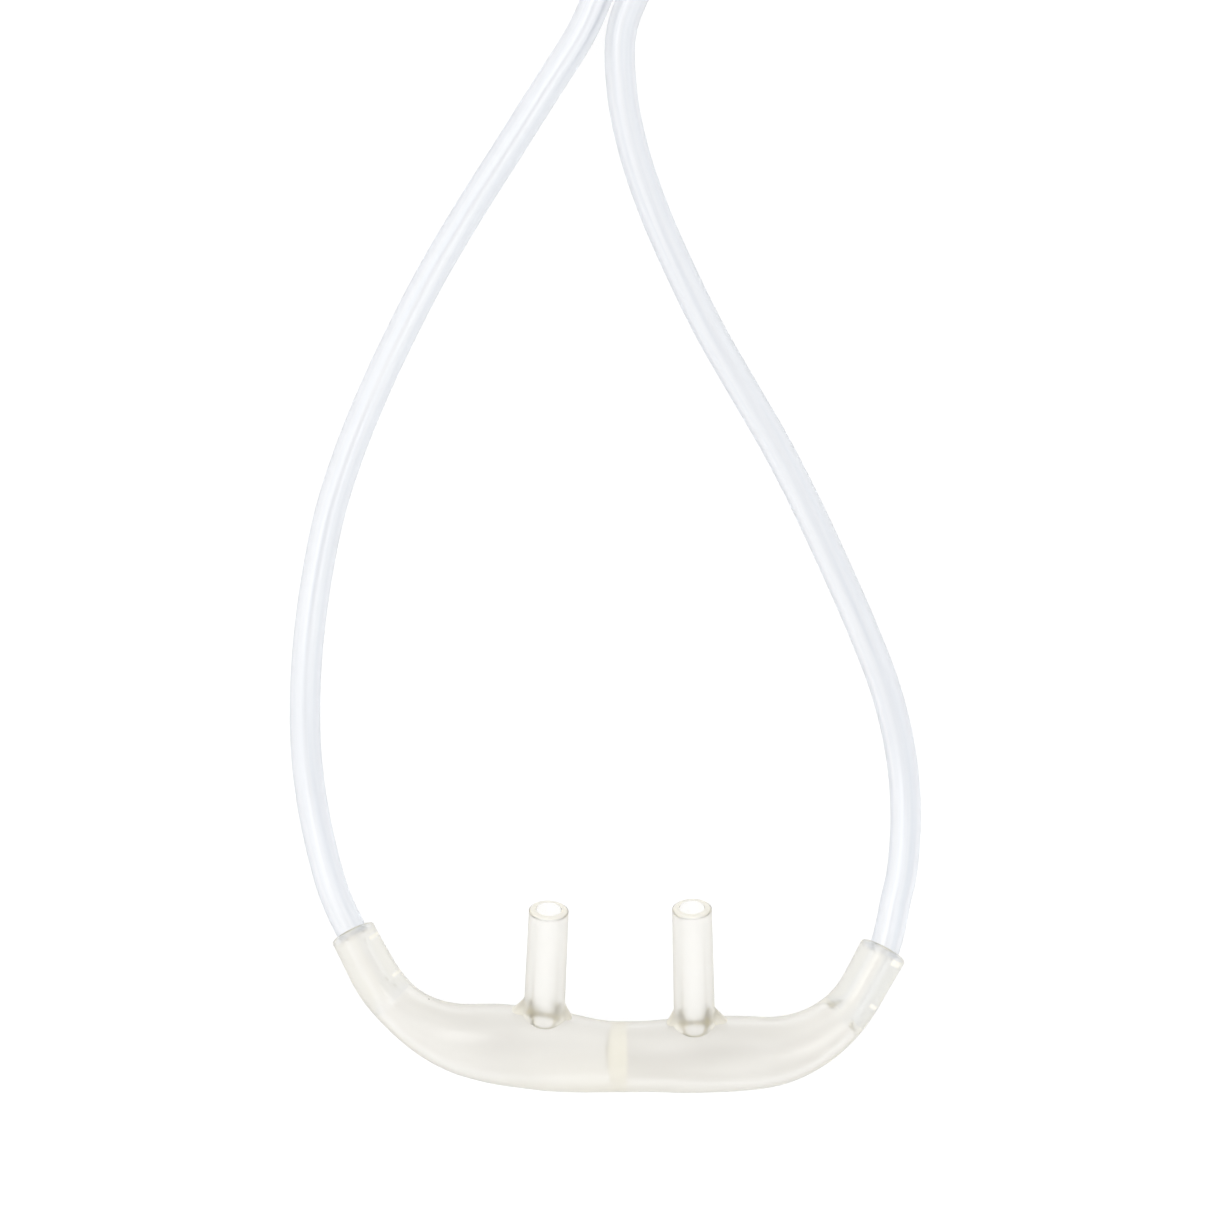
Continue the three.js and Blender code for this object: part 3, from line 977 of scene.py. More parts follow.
    def core(self, half: Half) -> bpy.types.Object:
        """Lofts the air inside one half: its chamber, the cone down to the tube's bore, that bore, and the mouth.

        The tube is bonded into its socket, so nothing shows between the two, and the arm is solid round the bore.

        Args:
            half: The half that it is in.

        Returns:
            The solid to cut away.
        """
        rings: Rings = []
        start = self.septum / 2
        stop = half.reach - self.socket_depth
        for distance in np.arange(start, stop, self.bar_step):
            radius, shift = self.core_sizes(half, distance)
            ring = self.section(half, distance, radius, self.core_sides, shift)
            if distance == start:
                centre, heading = self.spot(half, distance)
                along = np.array([math.cos(heading) * half.sign, math.sin(heading), 0.0])
                level = (ring[:, 2] - self.axis_height) / radius
                ring = ring + np.outer(level**2 * half.septum_bow, along)
            rings.append(ring)
        chamber_rings = len(rings)
        mouth = half.reach
        floor = mouth - self.mouth_depth
        for distance, radius, lean in (
            (stop, self.socket_radius + 0.03, 0),
            (stop + 1.9, self.seated_bore + 0.1, 0),
            (stop + 2.2, self.seated_bore, 0),
            *((d, self.seated_bore, 0) for d in np.arange(stop + 2.6, floor - 0.3, 0.45)),
            (floor, self.seated_bore, 0),
            (floor + 0.01, self.socket_radius, 0),
            (mouth - 0.2, self.socket_radius, 1),
            (mouth + 0.02, self.socket_radius + self.mouth_flare, 1),
            (mouth + 1.2, self.socket_radius + self.mouth_flare, 1),
        ):
            rings.append(self.tilted(half, self.section(half, distance, radius, self.core_sides), lean))

        def mark(row: int) -> Patch:
            """Tells the chamber's faces from the others."""
            return Patch.CHAMBER if row < chamber_rings - 1 else Patch.SOCKET

        return Skin().add_rings(rings, closed=False, mark=mark).make("core_air")

    def prong_line(self, half: Half) -> np.ndarray:
        """Works out the three points that a prong's curved axis follows.

        Args:
            half: The half that it stands on.

        Returns:
            The points, one row each.
        """
        base, _ = self.spot(half, half.prong_from)
        reach, lean = half.prong_reach / 2, -half.sign * half.prong_lean / 2
        middle = base + [lean, reach, reach * math.tan(math.radians(self.prong_rise))]
        tip = middle + [lean, reach, reach * math.tan(math.radians(self.prong_tip_rise))]
        return np.array([base, middle, tip])

    def prong_axes(self, half: Half, share: float) -> tuple[np.ndarray, np.ndarray, np.ndarray, np.ndarray]:
        """Finds a place on a prong's axis.

        Args:
            half: The half that it stands on.
            share: Share of the way up.

        Returns:
            The place, the axis across the prong, the one that rises from it, and its direction.
        """
        base, middle, tip = self.prong_line(half)
        centre = (1 - share) ** 2 * base + 2 * share * (1 - share) * middle + share**2 * tip
        along = unit((1 - share) * (middle - base) + share * (tip - middle))
        across = unit(np.cross(along, UP))
        return centre, across, np.cross(across, along), along

    def height_over_bar(self, half: Half, points: np.ndarray) -> np.ndarray:
        """Measures how far points lie over the bar's skin.

        Args:
            half: The half that they are on.
            points: One row for each point.

        Returns:
            The distances, below 0 inside the bar.
        """
        stations = np.arange(half.prong_from - 8, half.prong_from + 8, 0.25)
        axis = np.array([self.spot(half, s)[0] for s in stations])
        radii = np.array([self.radius(half, s) for s in stations])
        return (np.linalg.norm(points[:, None] - axis[None], axis=2) - radii[None]).min(axis=1)

    def footed(self, half: Half, ring: np.ndarray, centre: np.ndarray, rise: np.ndarray) -> np.ndarray:
        """Spreads a prong's ring near the bar: a fillet all round, and the two small webs along the bar.

        Args:
            half: The half that it stands on.
            ring: The ring's points.
            centre: Its centre.
            rise: The direction that rises from the prong.

        Returns:
            The moved points.
        """
        height = np.clip(self.height_over_bar(half, ring), 0, None)
        outward = ring - centre
        outward = outward / np.linalg.norm(outward, axis=1)[:, None]
        fillet = self.foot_fillet * np.clip(1 - height / self.foot_rise, 0, 1) ** 2
        flat = np.exp(-((((ring - centre) @ rise) / (self.web_thickness * 0.62)) ** 4))
        runs = np.where(outward[:, 0] * half.sign > 0, *self.web_runs)
        web = runs * np.clip(1 - height / self.web_rise, 0, 1) ** 1.25 * flat
        return ring + outward * np.maximum(fillet, web)[:, None]

    def prong(self, half: Half) -> bpy.types.Object:
        """Lofts a prong with its spread foot and its softly rounded tip.

        Args:
            half: The half that it stands on.

        Returns:
            The solid to join to the bar.
        """
        rings: Rings = []
        foot_from, foot_to = self.foot_shares
        last = 1 - 0.4 * self.tip_round / half.prong_reach
        inside, foot = np.linspace(0, foot_from, 5)[:-1], np.linspace(foot_from, foot_to, 30)[:-1]
        for share in np.concatenate([inside, foot, np.linspace(foot_to, last, 22)]):
            centre, across, rise, _ = self.prong_axes(half, share)
            radius = blend_of(self.prong_base, self.prong_tip, share)
            rings.append(self.footed(half, circle(centre, across, rise, radius, self.prong_sides), centre, rise))
        tip_from = len(rings)
        centre, across, rise, along = self.prong_axes(half, 1.0)
        for turn in np.linspace(15, 90, 6):
            angle = math.radians(turn)
            radius = self.prong_tip - self.tip_round * (1 - math.cos(angle))
            back = self.tip_round * (1 - math.sin(angle))
            rings.append(circle(centre - along * back, across, rise, radius, self.prong_sides))

        def mark(row: int) -> Patch:
            """Tells the tip's faces from the prong's."""
            return Patch.TIP if row >= tip_from + 2 else Patch.PRONG

        return Skin().add_rings(rings, closed=False, mark=mark).make("prong_skin")

    def bore(self, half: Half) -> bpy.types.Object:
        """Lofts the air inside a prong, a little wider at the very tip.

        Args:
            half: The half that it stands on.

        Returns:
            The solid to cut away.
        """
        rings: Rings = []
        for share in np.linspace(0, 1, 40):
            centre, across, rise, along = self.prong_axes(half, share)
            rings.append(circle(centre, across, rise, self.prong_bore, self.core_sides))
        rings[-1] = rings[-1] - along * 0.15
        for past, widen in ((0.02, 0.1), (1.0, 0.1)):
            rings.append(circle(centre + along * past, across, rise, self.prong_bore + widen, self.core_sides))
        return Skin().add_rings(rings, closed=False, mark=lambda row: Patch.BORE).make("bore_air")

    def carve(self) -> bpy.types.Object:
        """Joins the solids, cuts the air out of them and marks the edges between their surfaces.

        Returns:
            The moulding, with its surface attribute and its attribute of painted light and shade.
        """
        body = self.bar()
        joined = [self.prong(half) for half in (LEFT, RIGHT)]
        cut = [make(half) for make in (self.core, self.bore) for half in (LEFT, RIGHT)]
        for operation, tools in (("UNION", joined), ("DIFFERENCE", cut)):
            for tool in tools:
                step = body.modifiers.new("carve", "BOOLEAN")
                step.operation = operation
                step.object = tool
                step.solver = "EXACT"
        bpy.context.view_layer.update()
        evaluated = body.evaluated_get(bpy.context.evaluated_depsgraph_get())
        carved = bpy.data.meshes.new_from_object(evaluated)
        body.modifiers.clear()
        body.data = carved
        for tool in joined + cut:
            bpy.data.objects.remove(tool)
        self.mark(carved)
        body.name = carved.name = "facepiece_moulding"
        return body

    def mark(self, mesh: bpy.types.Mesh) -> None:
        """Leaves edges between different surfaces crisp, and writes the two attributes that the vinyl's shader reads.

        Args:
            mesh: The carved mesh, whose material indices are its patches.
        """
        patches = np.empty(len(mesh.polygons), int)
        mesh.polygons.foreach_get("material_index", patches)
        mesh.shade_smooth()
        mesh.set_sharp_from_angle(angle=math.radians(38))
        outer = (Patch.TIP.value, Patch.PRONG.value, Patch.ARM.value)
        families = np.where(np.isin(patches, outer), Patch.SKIN.value, patches)
        families = np.where(families == Patch.SOCKET.value, Patch.CHAMBER.value, families)
        seen: dict[tuple[int, int], int] = {}
        crisp = set()
        for polygon, family in zip(mesh.polygons, families):
            for key in polygon.edge_keys:
                if seen.setdefault(key, family) != family:
                    crisp.add(key)
        sharp = mesh.attributes.get("sharp_edge") or mesh.attributes.new("sharp_edge", "BOOLEAN", "EDGE")
        for edge in mesh.edges:
            if tuple(edge.key) in crisp:
                sharp.data[edge.index].value = True
        # X is the share of painted shade: full in the chambers, less on the skin, socket and arms.
        kinds = {
            Patch.SKIN: (0.3, 0.0, 0.0),
            Patch.ARM: (0.75, 0.0, 0.0),
            Patch.CHAMBER: (1.0, 1.0, 0.0),
            Patch.SOCKET: (0.3, 1.0, 0.0),
            Patch.BORE: (0.0, 1.0, 0.0),
            Patch.TIP: (0.0, 0.0, 1.0),
        }
        table = np.array([kinds.get(patch, (0.0, 0.0, 0.0)) for patch in Patch], np.float32)
        values = table[patches]
        # Painted light and shade for each half.
        painted_light_marks = self.paint_light_and_shade(mesh, patches, values)
        for name, rows in (("surface", values), ("painted_light", painted_light_marks)):
            mesh.attributes.new(name, "FLOAT_VECTOR", "FACE").data.foreach_set("vector", rows.ravel())
        mesh.polygons.foreach_set("material_index", np.zeros(len(patches), int))

    def paint_light_and_shade(self, mesh: bpy.types.Mesh, patches: np.ndarray, values: np.ndarray) -> np.ndarray:
        """Paints light and shade on each half on its own: painted shade in its chamber and arm, a band left bright on
        its arm as a painted highlight, a dark rim line of painted shade, white glints on its ticks, and white painted
        light on its web tops and tip.

        Args:
            mesh: The carved mesh.
            patches: The patch of each face.
            values: The surface attribute of each face, whose X, the share of painted shade, is changed in place.

        Returns:
            The painted light and shade of each face: white painted light in X, a dark rim line of painted shade in Y,
                and in Z the
            bluish tint of the seated tube, darkened as painted shade and left out in a band as a painted highlight.
        """
        centres = np.empty(len(patches) * 3)
        mesh.polygons.foreach_get("center", centres)
        centres = centres.reshape(-1, 3) / MM
        painted_light_marks = np.zeros((len(patches), 3), np.float32)
        # Painted light: white on the tips, lightening the dark ring that their refraction shows.
        painted_light_marks[patches == Patch.TIP.value, 0] = self.tip_painted_light
        for half in (LEFT, RIGHT):
            mine = (centres[:, 0] - self.bar_middle[0]) * half.sign > 0
            # Painted shade in the chamber, lighter on the left half as light falls from the left.
            values[mine & (patches == Patch.CHAMBER.value), 0] = half.chamber_shade
            # Painted light: white on the tops of the webs, where light trapped in the vinyl would leave them dark.
            foot = np.flatnonzero(mine & (patches == Patch.PRONG.value))
            low = np.clip(1 - self.height_over_bar(half, centres[foot]) / self.web_rise, 0, 1)
            base = self.spot(half, half.prong_from)[0]
            spread = np.clip((np.abs(centres[foot, 0] - base[0]) - self.web_spread[0]) / self.web_spread[1], 0, 1)
            painted_light_marks[foot, 0] = self.web_painted_light * np.sqrt(low) * spread * (centres[foot, 2] > base[2])
            arm = np.flatnonzero(mine & (patches == Patch.ARM.value))
            end, heading = self.spot(half, half.reach)
            along = np.array([math.cos(heading) * half.sign, math.sin(heading), 0.0])
            leftward = np.array([-along[1], along[0], 0.0])
            # Painted shade on the arm: some of the grey tint, and the bluish tint of the seated tube, darker on the
            # right half; a band near the axis is left out of it as a painted highlight.
            off = (centres[arm] - end) @ leftward - self.highlight_side
            values[arm, 0] = self.arm_shade_share
            painted_light_marks[arm, 2] = half.arm_cool_shade * (1 - np.exp(-((off / self.highlight_width) ** 4)))
            # Painted shade: a dark line at the rim of the arm's end.
            back = (end - centres[arm]) @ along + (centres[arm, 2] - self.axis_height) * self.mouth_tilt
            painted_light_marks[arm[np.abs(back) < self.rim_reach], 1] = self.rim_shade
            # Painted highlights: white glints on the moulding's tick marks.
            for tick in half.ticks:
                away = centres[arm] - [*tick, self.axis_height]
                near = (np.abs(away @ along) < self.tick_reach[0]) & (np.abs(away @ leftward) < self.tick_reach[1])
                painted_light_marks[arm[near & (away[:, 2] > 0)], 0] = self.tick_glint
        return painted_light_marks

    def build(self) -> bpy.types.Object:
        """Builds and dresses the facepiece.

        Returns:
            The moulding.
        """
        piece = self.carve()
        dress(piece, CLEAR_VINYL.material(), Slot.VINYL, Body.CANNULA, "facepiece")
        return piece

    def socket_points(self, half: Half) -> list[np.ndarray]:
        """Gives the places on a socket's axis that its tube passes, from its inner end to the mouth."""
        return [self.spot(half, half.reach - self.socket_depth * share)[0] for share in (1.0, 0.5, 0.0)]


# Tubes, their stored turns and what is on them


@dataclass(frozen=True)
class SlideRun:
    """The stretch where both tubes run side by side through the slider."""

    start: tuple[float, float] = (1.1, 120.7)
    heading: float = 24
    spacing: float = 4.0
    height: float = 3.4
    sleeve_length: float = 12
    margin: float = 1

    @property
    def along(self) -> np.ndarray:
        """Direction of the run."""
        angle = math.radians(self.heading)
        return np.array([math.sin(angle), math.cos(angle), 0.0])

    @property
    def leftward(self) -> np.ndarray:
        """Direction to the left of the run."""
        return np.array([-self.along[1], self.along[0], 0.0])

    def place(self, distance: float, offset: float) -> np.ndarray:
        """Gives a place beside the run.

        Args:
            distance: Length from its start.
            offset: How far to the left of its middle.

        Returns:
            The place, at the tubes' height.
        """
        start = np.array([*self.start, self.height])
        return start + self.along * distance + self.leftward * offset


@dataclass(frozen=True)
class Winding:
    """How the stored length of a tube lies: turns side by side in three layers, tied and flat on the floor."""

    outer_turn: float = 28.8
    pitch: float = 3.7
    turns: int = 5
    base: float = 0.9
    tube_radius: float = 1.8
    step_over: float = 60
    layers: int = 3

    @property
    def face(self) -> float:
        """Radius of the coil's outer face."""
        return self.outer_turn + self.tube_radius

    @property
    def inner_face(self) -> float:
        """Radius of the coil's inner face."""
        return self.outer_turn - self.pitch * (self.turns - 1) - self.tube_radius

    @property
    def top(self) -> float:
        """Height of the coil's upper face."""
        return self.base + 2 * self.tube_radius + self.pitch * (self.layers - 1)

    def points(self, centre: np.ndarray, start: float, last: float) -> list[list[float]]:
        """Winds the tube, anticlockwise from above.

        Each turn keeps its radius and then steps over by one pitch. The last turn of a layer climbs to the next one,
        over the turn beside it, and the next layer steps the other way.

        Args:
            centre: Centre of the coil.
            start: Angle where the tube touches the coil first, in degrees.
            last: How far the tube is wound in the last layer, in degrees.

        Returns:
            Points a twenty-fourth of a turn apart.
        """
        found = []
        angle = start
        inward = True
        for layer in range(self.layers):
            window = 300 if layer == 0 else 240
            whole = 360 * (self.turns - 1) + window + self.step_over
            wound = whole if layer < self.layers - 1 else last
            for turned in np.arange(0, wound, 15.0):
                steps = sum(ramp(turned, window + 360 * n, window + 360 * n + self.step_over)
                            for n in range(self.turns - 1))
                climb = ramp(turned, whole - self.step_over, whole)
                edge = steps if inward else self.turns - 1 - steps
                radius = self.outer_turn - self.pitch * edge
                level = layer + math.sqrt(climb * (2 - climb))
                bearing = math.radians(angle + turned)
                found.append([
                    centre[0] + radius * math.cos(bearing),
                    centre[1] + radius * math.sin(bearing),
                    self.base + self.tube_radius + self.pitch * level,
                ])
            angle += wound
            inward = not inward
        return found


@dataclass
class Line:
    """One tube of the cannula, from its socket to its connector, with its whole length."""

    name: str
    half: Half
    route: tuple[tuple[float, float, float], ...]
    offset: float
    centre: np.ndarray
    first_touch: float
    last_layer: float
    climb: tuple[tuple[float, float, float], ...]
    connector_radius: float
    after: tuple[tuple[float, float, float], ...] = ()
    radius: float = 1.8
    bore: float = 0.95
    straight: float = 0.0
    # Where the painted dark line lies across the tube, from -1 at its left edge to 1 at its right.
    shade_line: float = 0.45
    real_length: float = 2130
    sides: int = 32
    fine_step: float = 0.5
    stored_step: float = 1.9
    seen_length: float = 190
    back: tuple[float, float] = (10, 19.5)
    seat: float = 7.4
    rest_gap: float = 0.3
    line: np.ndarray = field(init=False)
    piece: bpy.types.Object = field(init=False)
    TAIL: ClassVar[Sequence[tuple[float, float, float]]] = (
        (12.0, -12.8, 0.0), (20.0, -7.6, 0.0), (24.4, 0.4, 0.0), (23.4, 9.4, 0.2), (18.0, 16.6, 0.75),
    )

    def connector_back(self, winding: Winding) -> np.ndarray:
        """Gives the middle of the back face of the tube's connector, which lies on the coil.

        Args:
            winding: The coil that it lies on.

        Returns:
            The place.
        """
        height = winding.top + self.rest_gap + self.connector_radius
        return np.array([self.centre[0] + self.back[0], self.centre[1] + self.back[1], height])

    def tail(self, winding: Winding) -> list[list[float]]:
        """Lays the last of the tube across the coil's top and into the connector.

        Args:
            winding: The coil that it lies on.

        Returns:
            The points it passes.
        """
        lying = winding.top + self.rest_gap + self.radius
        high = winding.top + self.rest_gap + self.connector_radius
        rows = (
            *self.climb,
            *((x, y, blend_of(lying, high, share)) for x, y, share in self.TAIL),
            (*self.back, high),
            (self.back[0] - self.seat, self.back[1], high),
        )
        return [[self.centre[0] + x, self.centre[1] + y, z] for x, y, z in rows]

    def path(self, facepiece: Facepiece, run: SlideRun, winding: Winding) -> np.ndarray:
        """Lays the whole tube.

        Args:
            facepiece: Holds the socket that it starts in.
            run: The stretch through the slider.
            winding: The coil of its stored length.

        Returns:
            Points at even distances along its centreline.
        """
        straight = [run.place(self.straight * share, self.offset) for share in (0, 0.25, 0.5, 0.75, 1)]
        points = [
            *facepiece.socket_points(self.half),
            *self.route,
            *straight,
            *self.after,
            *winding.points(self.centre, self.first_touch, self.last_layer),
            *self.tail(winding),
        ]
        whole = Route(points).line(self.fine_step)
        bonded = round((facepiece.socket_depth - facepiece.mouth_depth - 0.04) / self.fine_step)
        seen = round(self.seen_length / self.fine_step)
        return np.vstack([whole[bonded:seen], even(whole[seen:], self.stored_step)])

    def build(self, facepiece: Facepiece, run: SlideRun, winding: Winding, material: bpy.types.Material) -> None:
        """Builds the hollow tube, with the streaks that drawing left along it and painted shade across it, and dresses
        it.

        Args:
            facepiece: Holds the socket that it starts in.
            run: The stretch through the slider.
            winding: The coil of its stored length.
            material: The tubing's material.
        """
        self.line = self.path(facepiece, run, winding)
        outer, inner, grain = [], [], []
        turn = np.linspace(0, 2 * math.pi, self.sides, endpoint=False)
        travelled = np.concatenate([[0.0], np.cumsum(np.linalg.norm(np.diff(self.line, axis=0), axis=1))])
        for centre, far, (side, rise, _) in zip(self.line, travelled, sections_along(self.line)):
            outer.append(circle(centre, side, rise, self.radius, self.sides))
            inner.append(circle(centre, side, rise, self.bore, self.sides))
            grain.append(np.stack([np.cos(turn), np.sin(turn), np.full(self.sides, far)], axis=1))
        marks = np.vstack(grain + [g * [0.5, 0.5, 1.0] for g in grain[::-1]])
        self.piece = Skin().add_rings(outer + inner[::-1], closed=True, grain=marks).make(f"{self.name}_line")
        inside = np.zeros((len(marks), 3), np.float32)
        inside[len(marks) // 2 :, 1] = 1.0
        # Painted shade on the outer skin, as the tube is seen from above: a dark line a set way across, a darker left
        # edge, and a darker right side, as light falls from the left.
        across = marks[: len(marks) // 2, 0]
        shade_line, edge = (np.exp(-(((across - at) / 0.15) ** 2)) for at in (self.shade_line, -1))
        inside[: len(marks) // 2, 0] = 0.65 * shade_line + 0.3 * edge + 0.22 * (across > self.shade_line)
        self.piece.data.attributes.new("surface", "FLOAT_VECTOR", "POINT").data.foreach_set("vector", inside.ravel())
        nodes = (f"{self.name}_tube", f"{self.name}_coil", f"{self.name}_tube_end")
        dress(self.piece, material, Slot.TUBING, Body.CANNULA, *nodes)
        LOG.info("%s line: %.3f m along its centreline", self.name, length_of(self.line) * MM)

    def declare(self, facepiece: Facepiece) -> None:
        """Works out the mouth of its socket and the tube's width, and does nothing more with them.

        Args:
            facepiece: Holds the socket whose mouth is the exit.
        """
        mouth = facepiece.spot(self.half, self.half.reach)[0] * MM
        2 * self.radius * MM


@dataclass
class SliderSleeve:
    """The oval sleeve that both tubes pass through, with soft lips and five grip rings."""

    run: SlideRun
    bore: float = 2.1
    wall: float = 1.0
    lip: float = 0.35
    grip_rings: int = 5
    grip_depth: float = 0.22
    arc_points: int = 18

    def oval(self, distance: float, radius: float) -> np.ndarray:
        """Places one oval ring.

        Args:
            distance: Length along the run.
            radius: Radius of the oval's round ends.

        Returns:
            The ring's points.
        """
        centre = self.run.place(distance, 0)
        span = self.run.spacing / 2
        points = []
        for end in (-1, 1):
            for share in np.linspace(-0.5, 0.5, self.arc_points):
                angle = math.pi * share + (math.pi if end < 0 else 0)
                side = end * span + radius * math.cos(angle)
                points.append(centre + self.run.leftward * side + UP * radius * math.sin(angle))
        return np.array(points)

    def build(self, material: bpy.types.Material) -> bpy.types.Object:
        """Builds the sleeve and dresses it.

        Args:
            material: Its material.

        Returns:
            The sleeve.
        """
        length, start = self.run.sleeve_length, self.run.margin
        outside, inside = [], []
        for distance in np.linspace(0, length, 97):
            edge = min(distance, length - distance)
            rounding = self.lip * (1 - math.sqrt(max(0.0, 1 - (1 - min(edge, self.lip) / self.lip) ** 2)))
            wave = 0.5 - 0.5 * math.cos(2 * math.pi * self.grip_rings * (distance - 2) / (length - 4))
            groove = self.grip_depth * (1 - wave) if 2 < distance < length - 2 else self.grip_depth * ramp(edge, 1, 2)
            outside.append(self.oval(start + distance, self.bore + self.wall - rounding - groove))
            inside.append(self.oval(start + distance, self.bore + 0.6 * rounding))
        piece = Skin().add_rings(outside + inside[::-1], closed=True).make("slider_sleeve")
        dress(piece, material, Slot.SLIDE, Body.SLIDER, "slider")
        return piece


@dataclass
class CoilTie:
    """A coated tie round the turns of a coil, with its two ends twisted together on top."""

    name: str
    centre: np.ndarray
    winding: Winding
    width: float = 3.0
    thickness: float = 0.5
    gap: float = 0.35
    corner: float = 2.0
    wire: float = 0.3
    twists: float = 2.5
    tail_length: float = 11.0

    def loop(self) -> np.ndarray:
        """Lays the line that the band follows round the turns, in the plane through the coil's centre.

        Returns:
            Points of the closed line.
        """
        near = -(self.winding.inner_face - self.gap)
        far = -(self.winding.face + self.gap)
        low = self.winding.base - self.gap
        high = self.winding.top + self.gap
        corners = ((near, low, -90), (near, high, 0), (far, high, 90), (far, low, 180))
        points = []
        for x, z, start in corners:
            inward = (-1 if x == near else 1, 1 if z == low else -1)
            for share in np.linspace(0, 90, 7):
                angle = math.radians(start + share)
                points.append([
                    self.centre[0] + x + self.corner * (inward[0] + math.cos(angle)),
                    self.centre[1],
                    z + self.corner * (inward[1] + math.sin(angle)),
                ])
        return np.array(points)

    def strip(self, centre: np.ndarray, across: np.ndarray, out: np.ndarray) -> np.ndarray:
        """Places the band's section, with the wire's ridge along its middle.

        Args:
            centre: Middle of the section.
            across: Direction of its width.
            out: Direction of its thickness.

        Returns:
            The section's points.
        """
        half, thick = self.width / 2, self.thickness / 2
        outline = (
            (-half, -thick * 0.6), (-half, thick * 0.6), (-half * 0.4, thick * 0.7), (-half * 0.18, thick + self.wire),
            (half * 0.18, thick + self.wire), (half * 0.4, thick * 0.7), (half, thick * 0.6), (half, -thick * 0.6),
            (half * 0.3, -thick), (-half * 0.3, -thick),
        )
        return np.array([centre + across * x + out * z for x, z in outline])

    def build(self, material: bpy.types.Material) -> bpy.types.Object:
        """Builds the band with its twisted ends and dresses it.

        Args:
            material: Its material.

        Returns:
            The tie.
        """
        line = self.loop()
        line = even(np.vstack([line, line[:1]]), 0.7)[:-1]
        middle = line.mean(axis=0)
        across = np.array([0.0, 1.0, 0.0])
        rings = []
        for here, after, before in zip(line, np.roll(line, -1, axis=0), np.roll(line, 1, axis=0)):
            out = unit(np.cross(after - before, across))
            out = out if out.dot(here - middle) > 0 else -out
            rings.append(self.strip(here, across, out))
        skin = Skin().add_rings(rings, closed=True)
        top = self.winding.top + self.gap + self.thickness + self.wire + self.width / 2
        start = np.array([self.centre[0] - self.winding.face + 9, self.centre[1], top - self.width / 2 + 0.4])
        tail = Route([
            start,
            start + [-1.0, -1.5, 0.7],
            start + [-2.0, -5.0, 0.5],
            start + [-3.5, -self.tail_length, 0.2],
        ]).line(0.35)
        twisted = []
        for place, (side, rise, _) in enumerate(sections_along(tail)):
            turn = 2 * math.pi * self.twists * place / len(tail)
            first = side * math.cos(turn) + rise * math.sin(turn)
            second = -side * math.sin(turn) + rise * math.cos(turn)
            twisted.append(self.strip(tail[place], first * 0.5, second * 0.8))
        skin.add_rings(twisted, closed=False)
        piece = skin.make(f"{self.name}_coil_band", 50)
        dress(piece, material, Slot.PAPER, Body.CANNULA, f"{self.name}_coil_tie")
        return piece


@dataclass
class Connector:
    """A turned connector on a tube's end, which points towards -X from its back face."""

    name: str
    back: np.ndarray
    segments: int = 96
    socket: float = 1.85
    socket_depth: float = 8.0
    gas_path: float = 1.1

    def profile(self) -> list[tuple[float, float]]:
        """Gives the closed profile as radius and distance from the back face."""
        raise NotImplementedError

    def relief(self, place: int, along: float, turn: np.ndarray) -> np.ndarray:
        """Gives what stands out of the profile around its axis.

        Args:
            place: Which point of the profile it is.
            along: Distance from the back face.
            turn: Angles around the axis.

        Returns:
            Height at each angle.
        """
        raise NotImplementedError

    def smooth_profile(self, rows: Sequence[tuple[float, float, float]]) -> list[tuple[float, float]]:
        """Rounds the corners of a profile.

        Args:
            rows: Radius, distance from the back face and corner rounding of each corner.

        Returns:
            The rounded profile, closed on itself.
        """
        corners = [np.array(row[:2], float) for row in rows]
        found: list[tuple[float, float]] = []
        for k, (corner, row) in enumerate(zip(corners, rows)):
            before, after = corners[k - 1], corners[(k + 1) % len(corners)]
            reach = min(row[2], np.linalg.norm(before - corner) * 0.45, np.linalg.norm(after - corner) * 0.45)
            if reach <= 0:
                found.append(tuple(corner))
                continue
            enter, leave = corner + unit(before - corner) * reach, corner + unit(after - corner) * reach
            for share in np.linspace(0, 1, 5):
                point = (1 - share) ** 2 * enter + 2 * share * (1 - share) * corner + share**2 * leave
                found.append(tuple(point))
        return found

    @staticmethod
    def spaced(profile: Sequence[tuple[float, float]], step: float = 0.3) -> list[tuple[float, float]]:
        """Adds points between the far ones of a profile.

        Args:
            profile: The closed profile.
            step: The greatest distance to leave.

        Returns:
            The finer profile.
        """
        found: list[tuple[float, float]] = []
        for start, end in zip(profile, [*profile[1:], profile[0]]):
            count = max(1, math.ceil(math.dist(start, end) / step))
            for k in range(count):
                found.append(tuple(np.array(start) + (np.array(end) - start) * k / count))
        return found

    def turned(self) -> bpy.types.Object:
        """Turns the profile about the axis, with its relief.

        Returns:
            The piece.
        """
        turn = np.linspace(0, 2 * math.pi, self.segments, endpoint=False)
        rings = []
        for place, (radius, along) in enumerate(self.profile()):
            radii = radius + self.relief(place, along, turn)
            x = np.full(self.segments, self.back[0] - along)
            rings.append(np.stack([x, self.back[1] + radii * np.cos(turn), self.back[2] + radii * np.sin(turn)], 1))
        return Skin().add_rings(rings, closed=True).make(f"{self.name}_fitting", 35)


